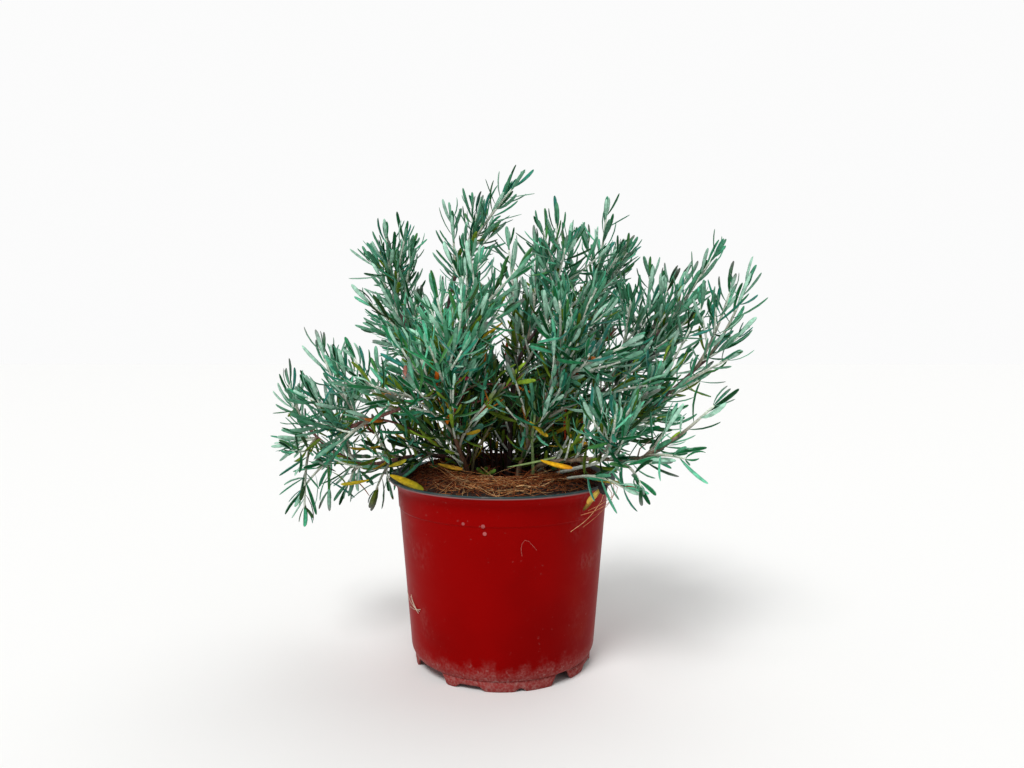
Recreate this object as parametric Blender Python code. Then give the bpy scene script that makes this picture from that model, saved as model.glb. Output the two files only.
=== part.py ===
"""Bog rosemary in a 3 litre nursery pot.

Metres, +Z up. The origin is the centre of the pot's foot plane, and -Y is the front.
The pot holds peat and a coir mat, woody stems stand in the peat, and each stem carries
leafy shoots whose leaves follow a spiral.
"""
import math
import random

import bmesh
import bpy
from mathutils import Matrix, Vector
from mathutils.bvhtree import BVHTree

MM = 0.001
GAP = 0.3 * MM                      # clearance wherever two pieces touch

# ---- pot ----
POT_HEIGHT = 156.5 * MM
LIP_RADIUS = 95 * MM
COLLAR_TOP_RADIUS = 88.6 * MM
COLLAR_FOOT_RADIUS = 87.6 * MM
COLLAR_FOOT_HEIGHT = 132 * MM
WALL_TOP_RADIUS = 86.8 * MM
WALL_FOOT_RADIUS = 77.6 * MM
FOOT_RING_HEIGHT = 9 * MM
FOOT_RING_RADIUS = 74.4 * MM
WALL = 1.8 * MM
FLOOR = 2 * MM
POT_SIDES = 48
LIP_DROP = 3.4 * MM                 # from the top of the pot to the underside of the lip
COLLAR_DROP = 8 * MM                # from the top of the pot to where the lip curls out
FOOT_CURVE = 5 * MM                 # height of the rounded corner above the foot ring
# angle from the front towards +X in degrees, width below in mm, width above as a share of it
FOOT_GAPS = ((39.5, 21, 0.55), (127, 46, 0.8), (-140.5, 21, 0.55), (-53, 46, 0.8))
FOOT_GAP_CEILING = 0.6 * MM         # left between a gap and the floor
# angle from the middle of each foot in degrees, width below in mm, depth in mm
FOOT_NOTCHES = ((-13, 26, 3.8), (18, 9, 2.6))
FOOT_NOTCH_NARROWING = 0.6
CUTTER_DEPTH = 12 * MM
CUTTER_BELOW = 2 * MM
DRAIN_SIDES = 10
DRAIN_RADIUS = 5 * MM
DRAIN_CIRCLE = 52 * MM
DRAIN_COUNT = 8

# ---- what fills the pot ----
PEAT_TOP = 145 * MM
PEAT_SIDES = 32
MULCH_OUTER = 85.6 * MM
MULCH_INNER = 35 * MM
MULCH_PROFILE = ((35, 148), (43, 158), (56, 164), (70, 161.5), (80, 156), (85.6, 153))   # radius, top, mm
MULCH_SEGMENTS = 28
MULCH_UNEVENNESS = (-1.2, 1.0)      # mm

# ---- stems: smooth routes through these points, mm, from the peat upwards ----
STEM_FOOT_RADIUS = 2.1 * MM
STEM_END_RADIUS = 1.2 * MM
STEM_SIDES = 6
STEM_STEP = 14 * MM
STEMS = {
    "upper_left_stem": [(-27, -8, 145.4), (-38, -8, 168), (-46, 0, 206), (-60, 8, 248), (-84, 15, 282),
                        (-93, 20, 312)],
    "tall_stem": [(-18, 14, 145.4), (-29, 16, 170), (-37, 22, 208), (-50, 34, 260), (-47, 32, 306),
                  (-36, 24, 337)],
    "front_left_stem": [(-22, -20, 145.4), (-30, -27, 168), (-39, -45, 203), (-38, -55, 251),
                        (-31, -55, 274)],
    "centre_stem": [(3, 0, 145.4), (6, 0, 170), (7, -4, 207), (15, -10, 257), (38, -12, 290)],
    "upper_right_stem": [(14, 13, 145.4), (18, 14, 168), (33, 26, 208), (52, 36, 256), (76, 40, 300)],
    "front_right_stem": [(10, -20, 145.4), (14, -23, 166), (31, -42, 215), (46, -55, 253)],
    "right_stem": [(22, 0, 145.4), (30, 1, 166), (59, 4, 197), (97, 4, 240), (131, -4, 276)],
    "far_right_stem": [(27, -12, 145.4), (38, -14, 168), (84, -22, 191), (130, -34, 225), (163, -38, 256)],
    "low_right_stem": [(22, -23, 145.4), (28, -30, 168), (66, -56, 178), (104, -76, 182), (130, -86, 200)],
    "low_left_stem": [(-30, 4, 145.4), (-40, 5, 165), (-60, 8, 171), (-86, 11, 168), (-119, 16, 161),
                      (-153, 26, 174), (-177, 34, 195)],
    "arching_left_stem": [(4, 18, 145.4), (2, 14, 180), (-4, -2, 220), (-26, -26, 236), (-62, -50, 224),
                          (-100, -56, 209), (-124, -52, 200)],
    "back_left_stem": [(-12, 27, 145.4), (-20, 34, 168), (-52, 66, 216), (-84, 96, 262)],
    "back_right_stem": [(9, 29, 145.4), (15, 36, 170), (48, 72, 222), (80, 98, 270)],
}

# ---- shoots: place along the stem from 0 at the peat to 1 at its end, and the twig's tip, mm ----
SHOOTS = {
    "upper_left_stem": [(1.0, (-99, 12, 356)), (0.94, (-81, -6, 352)), (0.86, (-116, 36, 338)),
                        (0.72, (-70, -14, 299)), (0.62, (-110, 28, 278))],
    "tall_stem": [(1.0, (10, 4, 398)), (0.95, (-22, 26, 378)), (0.90, (-46, 42, 376))],
    "front_left_stem": [(1.0, (-18, -40, 331)), (0.90, (13, -66, 324)), (0.75, (-48, -72, 302)),
                        (0.55, (-52, -95, 267))],
    "centre_stem": [(1.0, (44, -18, 364)), (0.92, (60, 8, 354)), (0.80, (28, 14, 350))],
    "upper_right_stem": [(1.0, (90, 30, 378)), (0.78, (112, 60, 348))],
    "front_right_stem": [(1.0, (72, -60, 310)), (0.90, (43, -78, 300)), (0.75, (91, -95, 267))],
    "right_stem": [(1.0, (175, -10, 341)), (0.93, (158, 20, 322)), (0.80, (128, 28, 325)),
                   (0.65, (104, -22, 302))],
    "far_right_stem": [(1.0, (194, -34, 313)), (0.92, (174, -58, 307)), (0.78, (171, -68, 256))],
    "low_right_stem": [(1.0, (153, -98, 224)), (0.80, (131, -108, 187)), (0.52, (80, -114, 219)),
                       (0.64, (97, -122, 170))],
    "low_left_stem": [(1.0, (-190, 34, 230)), (0.88, (-192, 48, 176)), (0.74, (-174, 8, 140)),
                      (0.66, (-137, 34, 224))],
    "arching_left_stem": [(1.0, (-150, -48, 230)), (0.90, (-144, -34, 262)), (0.80, (-112, -64, 257)),
                          (0.62, (-74, -76, 264))],
    "back_left_stem": [(1.0, (-116, 124, 306)), (0.80, (-56, 122, 318))],
    "back_right_stem": [(1.0, (112, 122, 314)), (0.80, (38, 124, 326))],
}
TWIG_FOOT_RADIUS = 1.1 * MM
TWIG_END_RADIUS = 0.6 * MM
TWIG_BEND = 0.4                     # of the twig's reach, where it turns towards its tip
TWIG_BARE = 0.12                    # part of a twig that carries no leaf
LEAF_SPACING = 3.9 * MM
GOLDEN_ANGLE = math.radians(137.5)
RING_TWIST = GOLDEN_ANGLE - math.radians(120)   # a three-sided twig turned so, ring by ring
LEAF_LENGTH = 23 * MM
LEAF_WIDTH = 3.6 * MM
LEAF_THICKNESS = 0.9 * MM
LEAF_WIDEST = 0.42                  # of the leaf's length, from the twig
LEAF_LEAN_AT_FOOT = math.radians(62)
LEAF_LEAN_AT_TIP = math.radians(24)
LEAF_BOW = 0.14                     # how far the tip bends back towards the twig, of its length
LEAF_LEAN_SPREAD = 8                # degrees either way
LEAF_HULL_BACK = 4 * MM             # the tested shape starts this far below the widest section
LEAF_HULL_NARROWING = 0.8

FALLEN_LEAF = ((-89, -41, 162.8), (-61, -57, 156.6))
FALLEN_LEAF_WIDTH = 5.5 * MM
FALLEN_LEAF_FORM = ((0.02, 0.25), (0.25, 0.8), (0.6, 1.0), (0.85, 0.7), (0.98, 0.2))      # along, width


def clear_scene():
    for old in list(bpy.data.objects):
        bpy.data.objects.remove(old, do_unlink=True)


def make_material(name, colour, roughness, metallic=0.0):
    material = bpy.data.materials.new(name)
    material.use_nodes = True
    shader = material.node_tree.nodes["Principled BSDF"]
    shader.inputs["Base Color"].default_value = (*colour, 1.0)
    shader.inputs["Roughness"].default_value = roughness
    shader.inputs["Metallic"].default_value = metallic
    return material


def add_object(name, mesh, material):
    """Turn a bmesh into a named object in place, its faces pointing out."""
    bmesh.ops.recalc_face_normals(mesh, faces=mesh.faces)
    if mesh.calc_volume(signed=True) < 0:
        bmesh.ops.reverse_faces(mesh, faces=mesh.faces)
    data = bpy.data.meshes.new(name)
    mesh.to_mesh(data)
    mesh.free()
    data.materials.append(material)
    data.shade_smooth()
    data.set_sharp_from_angle(angle=math.radians(40))
    obj = bpy.data.objects.new(name, data)
    bpy.context.collection.objects.link(obj)
    return obj


# ---------------------------------------------------------------- pot

def turn_profile(profile, sides):
    """Spin a closed (radius, height) outline about Z into a closed body."""
    mesh = bmesh.new()
    corners = [mesh.verts.new((radius, 0, height)) for radius, height in profile]
    edges = [mesh.edges.new((a, b)) for a, b in zip(corners, corners[1:])]
    bmesh.ops.spin(mesh, geom=corners + edges, axis=(0, 0, 1), cent=(0, 0, 0),
                   angle=2 * math.pi, steps=sides, use_merge=True)
    bmesh.ops.remove_doubles(mesh, verts=mesh.verts, dist=0.01 * MM)
    return mesh


def pot_outline():
    """From the middle of the floor's underside, out, up the wall and back down inside."""
    inner_foot = FOOT_RING_RADIUS - WALL
    return [
        (0, FOOT_RING_HEIGHT), (inner_foot, FOOT_RING_HEIGHT),
        (inner_foot, 0), (FOOT_RING_RADIUS, 0), (FOOT_RING_RADIUS, FOOT_RING_HEIGHT),
        (FOOT_RING_RADIUS + 1.2 * MM, FOOT_RING_HEIGHT),
        (WALL_FOOT_RADIUS - 0.6 * MM, FOOT_RING_HEIGHT + 1.6 * MM),
        (WALL_FOOT_RADIUS, FOOT_RING_HEIGHT + FOOT_CURVE),
        (WALL_TOP_RADIUS, COLLAR_FOOT_HEIGHT - 0.4 * MM),
        (COLLAR_FOOT_RADIUS, COLLAR_FOOT_HEIGHT + 0.6 * MM),
        (COLLAR_TOP_RADIUS, POT_HEIGHT - COLLAR_DROP), (LIP_RADIUS - 3 * MM, POT_HEIGHT - LIP_DROP),
        (LIP_RADIUS - 0.3 * MM, POT_HEIGHT - 2.4 * MM), (LIP_RADIUS, POT_HEIGHT - 1 * MM),
        (LIP_RADIUS - 0.9 * MM, POT_HEIGHT), (LIP_RADIUS - 4 * MM, POT_HEIGHT - 0.6 * MM),
        (COLLAR_TOP_RADIUS - WALL, POT_HEIGHT - 6 * MM),
        (COLLAR_FOOT_RADIUS - WALL, COLLAR_FOOT_HEIGHT),
        (WALL_FOOT_RADIUS - WALL, FOOT_RING_HEIGHT + FLOOR + 2 * MM),
        (WALL_FOOT_RADIUS - WALL - 2 * MM, FOOT_RING_HEIGHT + FLOOR),
        (0, FOOT_RING_HEIGHT + FLOOR),
    ]


def add_cutter(name, mesh, target):
    """A hidden solid that is cut out of the target."""
    data = bpy.data.meshes.new(name)
    mesh.to_mesh(data)
    mesh.free()
    cutter = bpy.data.objects.new(name, data)
    bpy.context.collection.objects.link(cutter)
    cutter.hide_render = True
    cutter.display_type = "WIRE"
    cut = target.modifiers.new(name, "BOOLEAN")
    cut.operation = "DIFFERENCE"
    cut.solver = "EXACT"
    cut.object = cutter


def front_turn(angle):
    """Turn +X onto a direction given in degrees from the front (-Y) towards +X."""
    return Matrix.Rotation(math.radians(angle - 90), 4, "Z")


def add_foot_cuts(pot):
    """Four sloped gaps part the foot ring into feet, and two notches cut each foot's edge."""
    cuts = bmesh.new()
    for angle, width, narrowing in FOOT_GAPS:
        trapezoid_block(cuts, front_turn(angle), width * MM, FOOT_RING_HEIGHT - FOOT_GAP_CEILING, narrowing)
    add_cutter("foot_gaps", cuts, pot)
    notches = bmesh.new()
    gap_angles = [angle for angle, width, narrowing in FOOT_GAPS]
    for gap_angle, next_gap in zip(gap_angles, gap_angles[1:] + gap_angles[:1]):
        foot_middle = gap_angle + ((next_gap - gap_angle) % 360) / 2
        for angle, width, depth in FOOT_NOTCHES:
            turn = front_turn(foot_middle + angle)
            trapezoid_block(notches, turn, width * MM, depth * MM, FOOT_NOTCH_NARROWING)
    add_cutter("foot_notches", notches, pot)


def trapezoid_block(mesh, turn, width, height, narrowing):
    """A block across the foot ring, wider below than above."""
    middle = (FOOT_RING_RADIUS - CUTTER_DEPTH / 4, 0, (height - CUTTER_BELOW) / 2)
    size = Matrix.Diagonal((CUTTER_DEPTH, width, height + CUTTER_BELOW, 1))
    centre = turn @ Matrix.Translation(middle)
    block = bmesh.ops.create_cube(mesh, size=1, matrix=centre @ size)["verts"]
    top = [vert for vert in block if vert.co.z > height / 2]
    bmesh.ops.scale(mesh, vec=(1, narrowing, 1), verts=top, space=turn.inverted())


def add_drain_cuts(pot):
    cuts = bmesh.new()
    for hole in range(DRAIN_COUNT):
        turn = Matrix.Rotation(2 * math.pi * hole / DRAIN_COUNT, 4, "Z")
        place = turn @ Matrix.Translation((DRAIN_CIRCLE, 0, FOOT_RING_HEIGHT + FLOOR / 2))
        bmesh.ops.create_cone(cuts, cap_ends=True, segments=DRAIN_SIDES, radius1=DRAIN_RADIUS,
                              radius2=DRAIN_RADIUS, depth=3 * FLOOR, matrix=place)
    add_cutter("drain_holes", cuts, pot)


def make_pot():
    plastic = make_material("red_pot_plastic", (0.24, 0.002, 0.003), 0.36)
    pot = add_object("nursery_pot", turn_profile(pot_outline(), POT_SIDES), plastic)
    add_foot_cuts(pot)
    add_drain_cuts(pot)
    return pot


def make_peat():
    """The root ball, clear of the pot by a gap all round."""
    shrink = WALL + 2 * GAP
    outline = [
        (0, FOOT_RING_HEIGHT + FLOOR + GAP),
        (WALL_FOOT_RADIUS - shrink - 3 * MM, FOOT_RING_HEIGHT + FLOOR + GAP),
        (WALL_FOOT_RADIUS - shrink - 0.5 * MM, FOOT_RING_HEIGHT + FLOOR + 4 * MM),
        (WALL_TOP_RADIUS - shrink - 0.5 * MM, COLLAR_FOOT_HEIGHT - 2 * MM),
        (COLLAR_FOOT_RADIUS - shrink - 0.5 * MM, PEAT_TOP), (0, PEAT_TOP),
    ]
    peat = make_material("dark_peat", (0.016, 0.010, 0.007), 0.95)
    return add_object("growing_medium", turn_profile(outline, PEAT_SIDES), peat)


def make_mulch():
    """A ring-shaped mat of coir with an uneven top and a hollow where the stems come up."""
    dice = random.Random(7)
    underside = PEAT_TOP + GAP
    outline = [(radius * MM, top * MM) for radius, top in MULCH_PROFILE]
    outline = [(MULCH_INNER, underside)] + outline + [(MULCH_OUTER, underside), (MULCH_INNER, underside)]
    mesh = turn_profile(outline, MULCH_SEGMENTS)
    inner_rows = [radius * MM for radius, top in MULCH_PROFILE[1:-1]]
    for vert in mesh.verts:
        reach = math.hypot(vert.co.x, vert.co.y)
        if vert.co.z > underside + MM and inner_rows[0] - MM < reach < inner_rows[-1] + MM:
            vert.co.z += dice.uniform(*MULCH_UNEVENNESS) * MM
    coir = make_material("coir_fibre", (0.20, 0.060, 0.020), 0.9)
    return add_object("coir_mulch", mesh, coir)


# ---------------------------------------------------------------- routes and tubes

def smooth_route(points, step):
    """Points along a Catmull-Rom curve through the given ones, about a step apart."""
    ends = [points[0] * 2 - points[1]] + points + [points[-1] * 2 - points[-2]]
    route = []
    for before, start, finish, after in zip(ends, ends[1:], ends[2:], ends[3:]):
        pieces = max(1, round((finish - start).length / step))
        for piece in range(pieces):
            t = piece / pieces
            route.append(0.5 * (2 * start + (finish - before) * t
                                + (2 * before - 5 * start + 4 * finish - after) * t ** 2
                                + (3 * start - before - 3 * finish + after) * t ** 3))
    route.append(points[-1].copy())
    return route


def route_tangents(route):
    forward = route[1:] + [route[-1] * 2 - route[-2]]
    backward = [route[0] * 2 - route[1]] + route[:-1]
    return [(after - before).normalized() for before, after in zip(backward, forward)]


def route_frames(route):
    """A turning matrix at each point: Z runs along the route, X and Y follow without twist."""
    tangents = route_tangents(route)
    across = tangents[0].orthogonal().normalized()
    frames = []
    for tangent in tangents:
        across = (across - tangent * across.dot(tangent)).normalized()
        frames.append(Matrix((across, tangent.cross(across), tangent)).transposed())
    return frames


def place_ring(ring, centre, frame, radius, turn):
    for corner, vert in enumerate(ring):
        angle = 2 * math.pi * corner / len(ring) + turn
        vert.co = centre + frame @ Vector((math.cos(angle), math.sin(angle), 0)) * radius


def tube(route, radii, sides, twist=0.0):
    """A capped tube along a route, turned by twist at each ring; its rings and frames come back too."""
    mesh = bmesh.new()
    frames = route_frames(route)
    cone = bmesh.ops.create_cone(mesh, cap_ends=True, segments=sides, radius1=1, radius2=1, depth=1)
    first = cone["verts"]
    rings = [[vert for vert in first if vert.co.z < 0], [vert for vert in first if vert.co.z > 0]]
    cap = next(face for face in mesh.faces if set(face.verts) == set(rings[1]))
    for level in range(2, len(route)):
        cap = bmesh.ops.extrude_discrete_faces(mesh, faces=[cap])["faces"][0]
        corners = set(cap.verts)
        rings.append([edge.other_vert(vert) for vert in rings[-1] for edge in vert.link_edges
                      if edge.other_vert(vert) in corners])
    for level, ring in enumerate(rings):
        place_ring(ring, route[level], frames[level], radii[level], twist * level)
    return mesh, rings, frames


def spread(first, last, count):
    return [first + (last - first) * index / (count - 1) for index in range(count)]


# ---------------------------------------------------------------- stems

def make_stem(name, material):
    points = [Vector(point) * MM for point in STEMS[name]]
    route = smooth_route(points, STEM_STEP)
    radii = spread(STEM_FOOT_RADIUS, STEM_END_RADIUS, len(route))
    mesh, rings = tube(route, radii, STEM_SIDES)[:2]
    for vert in rings[0]:
        vert.co.z = PEAT_TOP + GAP
    add_object(name, mesh, material)
    return route


def point_along(route, fraction):
    """The point at a fraction of the route's length, and the route's direction there."""
    left = fraction * sum((b - a).length for a, b in zip(route, route[1:]))
    piece = 0
    while piece < len(route) - 2 and left > (route[piece + 1] - route[piece]).length:
        left -= (route[piece + 1] - route[piece]).length
        piece += 1
    direction = (route[piece + 1] - route[piece]).normalized()
    return route[piece] + direction * left, direction


# ---------------------------------------------------------------- shoots

def twig_route(stem_route, fraction, tip):
    """From the side or the end of a stem, along the stem at first, then bending to the tip."""
    joint, along = point_along(stem_route, fraction)
    stem_radius = STEM_FOOT_RADIUS + (STEM_END_RADIUS - STEM_FOOT_RADIUS) * fraction
    if fraction >= 1.0:
        start = joint + along * (GAP + TWIG_FOOT_RADIUS / 2)
    else:
        outward = tip - joint
        outward -= along * outward.dot(along)
        start = joint + outward.normalized() * (stem_radius + TWIG_FOOT_RADIUS + GAP)
    reach = (tip - start).length
    bend = start + (along + (tip - start).normalized()) / 2 * TWIG_BEND * reach
    count = max(6, round(reach / LEAF_SPACING))
    route = []
    for level in range(count + 1):
        t = level / count
        route.append(start * (1 - t) ** 2 + bend * 2 * t * (1 - t) + tip * t ** 2)
    return route


def side_face(rings, level, corner):
    """The face of a tube between two rings, at one of its sides."""
    sides = len(rings[0])
    lower = {rings[level][corner], rings[level][(corner + 1) % sides]}
    upper = {rings[level + 1][corner], rings[level + 1][(corner + 1) % sides]}
    shared = [face for face in next(iter(lower)).link_faces if lower | upper == set(face.verts)]
    return shared[0]


def leaf_shape(rings, frames, level, growth, dice):
    """Where a leaf's widest section and tip lie; growth runs from 0 at the twig's foot to 1."""
    corner = level % 3
    angle = RING_TWIST * (level + 0.5) + 2 * math.pi * (corner + 0.5) / 3
    axis = frames[level].col[2].copy()
    outward = (frames[level] @ Vector((math.cos(angle), math.sin(angle), 0))).normalized()
    lean = LEAF_LEAN_AT_FOOT + (LEAF_LEAN_AT_TIP - LEAF_LEAN_AT_FOOT) * growth
    lean += math.radians(dice.uniform(-LEAF_LEAN_SPREAD, LEAF_LEAN_SPREAD))
    size = 0.72 + 0.5 * math.sin(math.pi * (0.15 + 0.7 * growth)) ** 2      # longest in the twig's middle
    length = LEAF_LENGTH * size * dice.uniform(0.85, 1.08)
    width = LEAF_WIDTH * dice.uniform(0.85, 1.1)
    heading = outward * math.sin(lean) + axis * math.cos(lean)
    upper_side = (axis * math.sin(lean) - outward * math.cos(lean)).normalized()
    across = heading.cross(upper_side).normalized()
    face_corners = [ring[side % 3].co for ring in rings[level:level + 2] for side in (corner, corner + 1)]
    base = sum(face_corners, Vector()) / 4
    widest = base + heading * length * LEAF_WIDEST
    tip = base + heading * length + upper_side * length * LEAF_BOW
    return widest, tip, across * width / 2, upper_side * LEAF_THICKNESS / 2


def leaf_section(widest, half_across, half_up):
    return [widest + half_across * side + half_up * up for up in (-1, 1) for side in (-1, 1)]


def leaf_hull(widest, tip, half_across, half_up):
    """A leaf swollen by the clearance, as a triangle tree that other shapes are tested against."""
    across = half_across * (1 + GAP / half_across.length)
    up = half_up * (1 + GAP / half_up.length)
    heading = (tip - widest).normalized()
    start = widest - heading * LEAF_HULL_BACK
    points = leaf_section(start, half_across * LEAF_HULL_NARROWING, half_up)
    points += leaf_section(widest, across, up) + [tip + heading * GAP]
    sides = [(0, 1, 5, 4), (1, 3, 7, 5), (3, 2, 6, 7), (2, 0, 4, 6)]
    point = [(4, 5, 8), (5, 7, 8), (7, 6, 8), (6, 4, 8)]
    return BVHTree.FromPolygons(points, sides + point)


def grow_leaf(mesh, face, upper_ring, widest, tip, half_across, half_up):
    """Draw a twig's side face out to the leaf's widest section, then to a point."""
    centre = face.calc_center_median()
    lower_corners = [vert.co.copy() for vert in face.verts if vert not in upper_ring]
    drawn = bmesh.ops.extrude_discrete_faces(mesh, faces=[face])["faces"][0]
    for vert in drawn.verts:
        side = 1 if (vert.co - centre).dot(half_across) > 0 else -1
        up = -1 if any((vert.co - corner).length < MM / 10000 for corner in lower_corners) else 1
        vert.co = widest + half_across * side + half_up * up
    point = bmesh.ops.poke(mesh, faces=[drawn])["verts"][0]
    point.co = tip


class Shoot:
    """A twig being grown: its mesh, its rings, and the trees that keep other shoots clear of it."""

    def __init__(self, name, stem_route, fraction, tip, seed):
        self.name = name
        self.dice = random.Random(seed)
        route = twig_route(stem_route, fraction, tip)
        radii = spread(TWIG_FOOT_RADIUS, TWIG_END_RADIUS, len(route))
        self.mesh, self.rings, self.frames = tube(route, radii, 3, RING_TWIST)
        self.twig_tree = BVHTree.FromBMesh(self.mesh)
        self.leaf_trees = []
        self.middle = route[len(route) // 2]
        self.reach = (route[-1] - route[0]).length / 2 + 2 * LEAF_LENGTH

    def is_clear(self, tree, own):
        """Whether a tree touches none of this shoot; its own twig is where the leaf grows from."""
        if not own and tree.overlap(self.twig_tree):
            return False
        return not any(tree.overlap(other) for other in self.leaf_trees)

    def add_leaves(self, obstacles, shoots):
        levels = len(self.rings) - 1
        first = max(1, round(levels * TWIG_BARE))
        for level in range(first, levels):
            growth = (level - first) / max(1, levels - 1 - first)
            shape = leaf_shape(self.rings, self.frames, level, growth, self.dice)
            widest, tip, half_across, half_up = shape
            tree = leaf_hull(widest, tip, half_across, half_up)
            middle = (widest + tip) / 2
            reach = 2 * LEAF_LENGTH
            near = [shoot for shoot in shoots if (shoot.middle - middle).length < shoot.reach + reach]
            clear = all(shoot.is_clear(tree, shoot is self) for shoot in near)
            if clear and not any(tree.overlap(obstacle) for obstacle in obstacles):
                face = side_face(self.rings, level, level % 3)
                grow_leaf(self.mesh, face, self.rings[level + 1], widest, tip, half_across, half_up)
                self.leaf_trees.append(tree)


def make_fallen_leaf(material):
    """A yellow leaf lying over the lip at the left."""
    foot, tip = (Vector(point) * MM for point in FALLEN_LEAF)
    along = tip - foot
    across = along.cross(Vector((0, 0, 1))).normalized() * FALLEN_LEAF_WIDTH / 2
    up = across.cross(along).normalized() * LEAF_THICKNESS / 2
    if up.z < 0:
        up = -up
    shares, widths = zip(*FALLEN_LEAF_FORM)
    mesh, rings = tube([foot + along * share for share in shares], widths, 4)[:2]
    for ring, (share, width) in zip(rings, FALLEN_LEAF_FORM):
        for vert, (side, level) in zip(ring, ((-1, -1), (1, -1), (1, 1), (-1, 1))):
            vert.co = foot + along * share + across * side * width + up * level
    return add_object("fallen_leaf", mesh, material)


def object_tree(obj):
    depsgraph = bpy.context.evaluated_depsgraph_get()
    return BVHTree.FromObject(obj, depsgraph)


def main():
    clear_scene()
    pot = make_pot()
    peat = make_peat()
    mulch = make_mulch()
    bark = make_material("old_bark", (0.060, 0.026, 0.022), 0.8)
    leaf_green = make_material("glaucous_leaf", (0.085, 0.22, 0.17), 0.55)
    yellow = make_material("yellow_leaf", (0.62, 0.36, 0.02), 0.55)
    routes = {name: make_stem(name, bark) for name in STEMS}
    fallen = make_fallen_leaf(yellow)
    obstacles = [object_tree(piece) for piece in (pot, peat, mulch, fallen)]
    obstacles += [object_tree(bpy.data.objects[name]) for name in STEMS]

    shoots = []
    for stem, plan in SHOOTS.items():
        for fraction, tip in plan:
            number = len(shoots) + 1
            name = f"leafy_shoot_{number:02d}"
            shoots.append(Shoot(name, routes[stem], fraction, Vector(tip) * MM, number))
    for shoot in shoots:
        shoot.add_leaves(obstacles, shoots)
    for shoot in shoots:
        add_object(shoot.name, shoot.mesh, leaf_green)


main()
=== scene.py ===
import math
import random

import bmesh
import bpy
import numpy as np
from mathutils import Matrix, Vector, noise


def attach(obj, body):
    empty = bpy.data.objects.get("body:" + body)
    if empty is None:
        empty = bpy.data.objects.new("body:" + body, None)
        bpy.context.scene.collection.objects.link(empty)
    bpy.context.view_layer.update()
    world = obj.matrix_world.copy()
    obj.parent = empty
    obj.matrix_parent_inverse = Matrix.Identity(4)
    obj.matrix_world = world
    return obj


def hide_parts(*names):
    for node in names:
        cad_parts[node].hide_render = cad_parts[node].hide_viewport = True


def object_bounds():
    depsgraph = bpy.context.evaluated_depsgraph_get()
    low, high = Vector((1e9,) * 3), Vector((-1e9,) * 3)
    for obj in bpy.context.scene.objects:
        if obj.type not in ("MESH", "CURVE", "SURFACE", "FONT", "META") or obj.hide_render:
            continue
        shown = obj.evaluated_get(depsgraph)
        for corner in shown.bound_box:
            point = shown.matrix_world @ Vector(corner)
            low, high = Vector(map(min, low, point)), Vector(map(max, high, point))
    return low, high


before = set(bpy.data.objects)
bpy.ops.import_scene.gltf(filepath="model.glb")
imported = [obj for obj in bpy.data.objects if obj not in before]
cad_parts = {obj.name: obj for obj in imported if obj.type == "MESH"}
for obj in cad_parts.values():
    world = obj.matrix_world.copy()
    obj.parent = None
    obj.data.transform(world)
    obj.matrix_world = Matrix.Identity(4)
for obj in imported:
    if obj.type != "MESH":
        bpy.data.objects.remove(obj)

mm = 0.001
goldenAngle = math.radians(137.5)
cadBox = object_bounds()
print("frame loaded,", len(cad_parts), "nodes")

studio = {
    "cameraPlace": (0.0079, -0.6483, 0.2769), "cameraTiltDown": 3.9, "lens": 27.07,
    "floorSize": 12.0, "floorColour": (0.86, 0.86, 0.85), "skyStrength": 0.37, "backdropStrength": 0.97,
    # where each light comes from, its softness in degrees and its power
    "lights": {"keyLight": ((-0.4, -0.8, 1.3), 24, 2.05), "topLight": ((0.3, 0.5, 1.3), 50, 0.9)},
}


def addObject(name, data):
    item = bpy.data.objects.new(name, data)
    bpy.context.collection.objects.link(item)
    return item


def meshFrom(shape, name):
    data = bpy.data.meshes.new(name)
    shape.to_mesh(data)
    shape.free()
    return data


def setCamera():
    camera = addObject("camera", bpy.data.cameras.new("camera"))
    camera.data.lens = studio["lens"]
    camera.location = studio["cameraPlace"]
    camera.rotation_euler = (math.radians(90 - studio["cameraTiltDown"]), 0, 0)
    bpy.context.scene.camera = camera


def addSoftLight(name, comesFrom, softness, power):
    light = addObject(name, bpy.data.lights.new(name, "SUN"))
    light.data.angle = math.radians(softness)
    light.data.energy = power
    light.rotation_euler = (-Vector(comesFrom)).to_track_quat("-Z", "Y").to_euler()


def setStudio():
    scene = bpy.context.scene
    scene.view_settings.view_transform = "Standard"
    world = bpy.data.worlds.new("paleRoom")
    world.use_nodes = True
    tree = world.node_tree
    sky = tree.nodes["Background"]
    seen = tree.nodes.new("ShaderNodeLightPath").outputs["Is Camera Ray"]
    strength = rangeOf(tree, seen, 0, 1, studio["skyStrength"], studio["backdropStrength"], smooth=False)
    tree.links.new(strength, sky.inputs["Strength"])
    sky.inputs["Color"].default_value = (1, 1, 1, 1)
    scene.world = world
    for name, (comesFrom, softness, power) in studio["lights"].items():
        addSoftLight(name, comesFrom, softness, power)
    floorMesh = bmesh.new()
    bmesh.ops.create_grid(floorMesh, x_segments=1, y_segments=1, size=studio["floorSize"] / 2)
    floor = addObject("floor", meshFrom(floorMesh, "floor"))
    floor.data.materials.append(newMaterial("palePaint", studio["floorColour"], 0.9)[0])


# materials: small helpers, then the effects that several finishes share

def newMaterial(name, colour, roughness):
    material = bpy.data.materials.new(name)
    material.use_nodes = True
    shader = material.node_tree.nodes["Principled BSDF"]
    shader.inputs["Base Color"].default_value = (*colour, 1)
    shader.inputs["Roughness"].default_value = roughness
    return material, material.node_tree, shader


def setSocket(tree, socket, value):     # linked where the value is another node's output
    if isinstance(value, bpy.types.NodeSocket):
        tree.links.new(value, socket)
    else:
        socket.default_value = (*value, 1) if isinstance(value, tuple) else value


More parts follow.
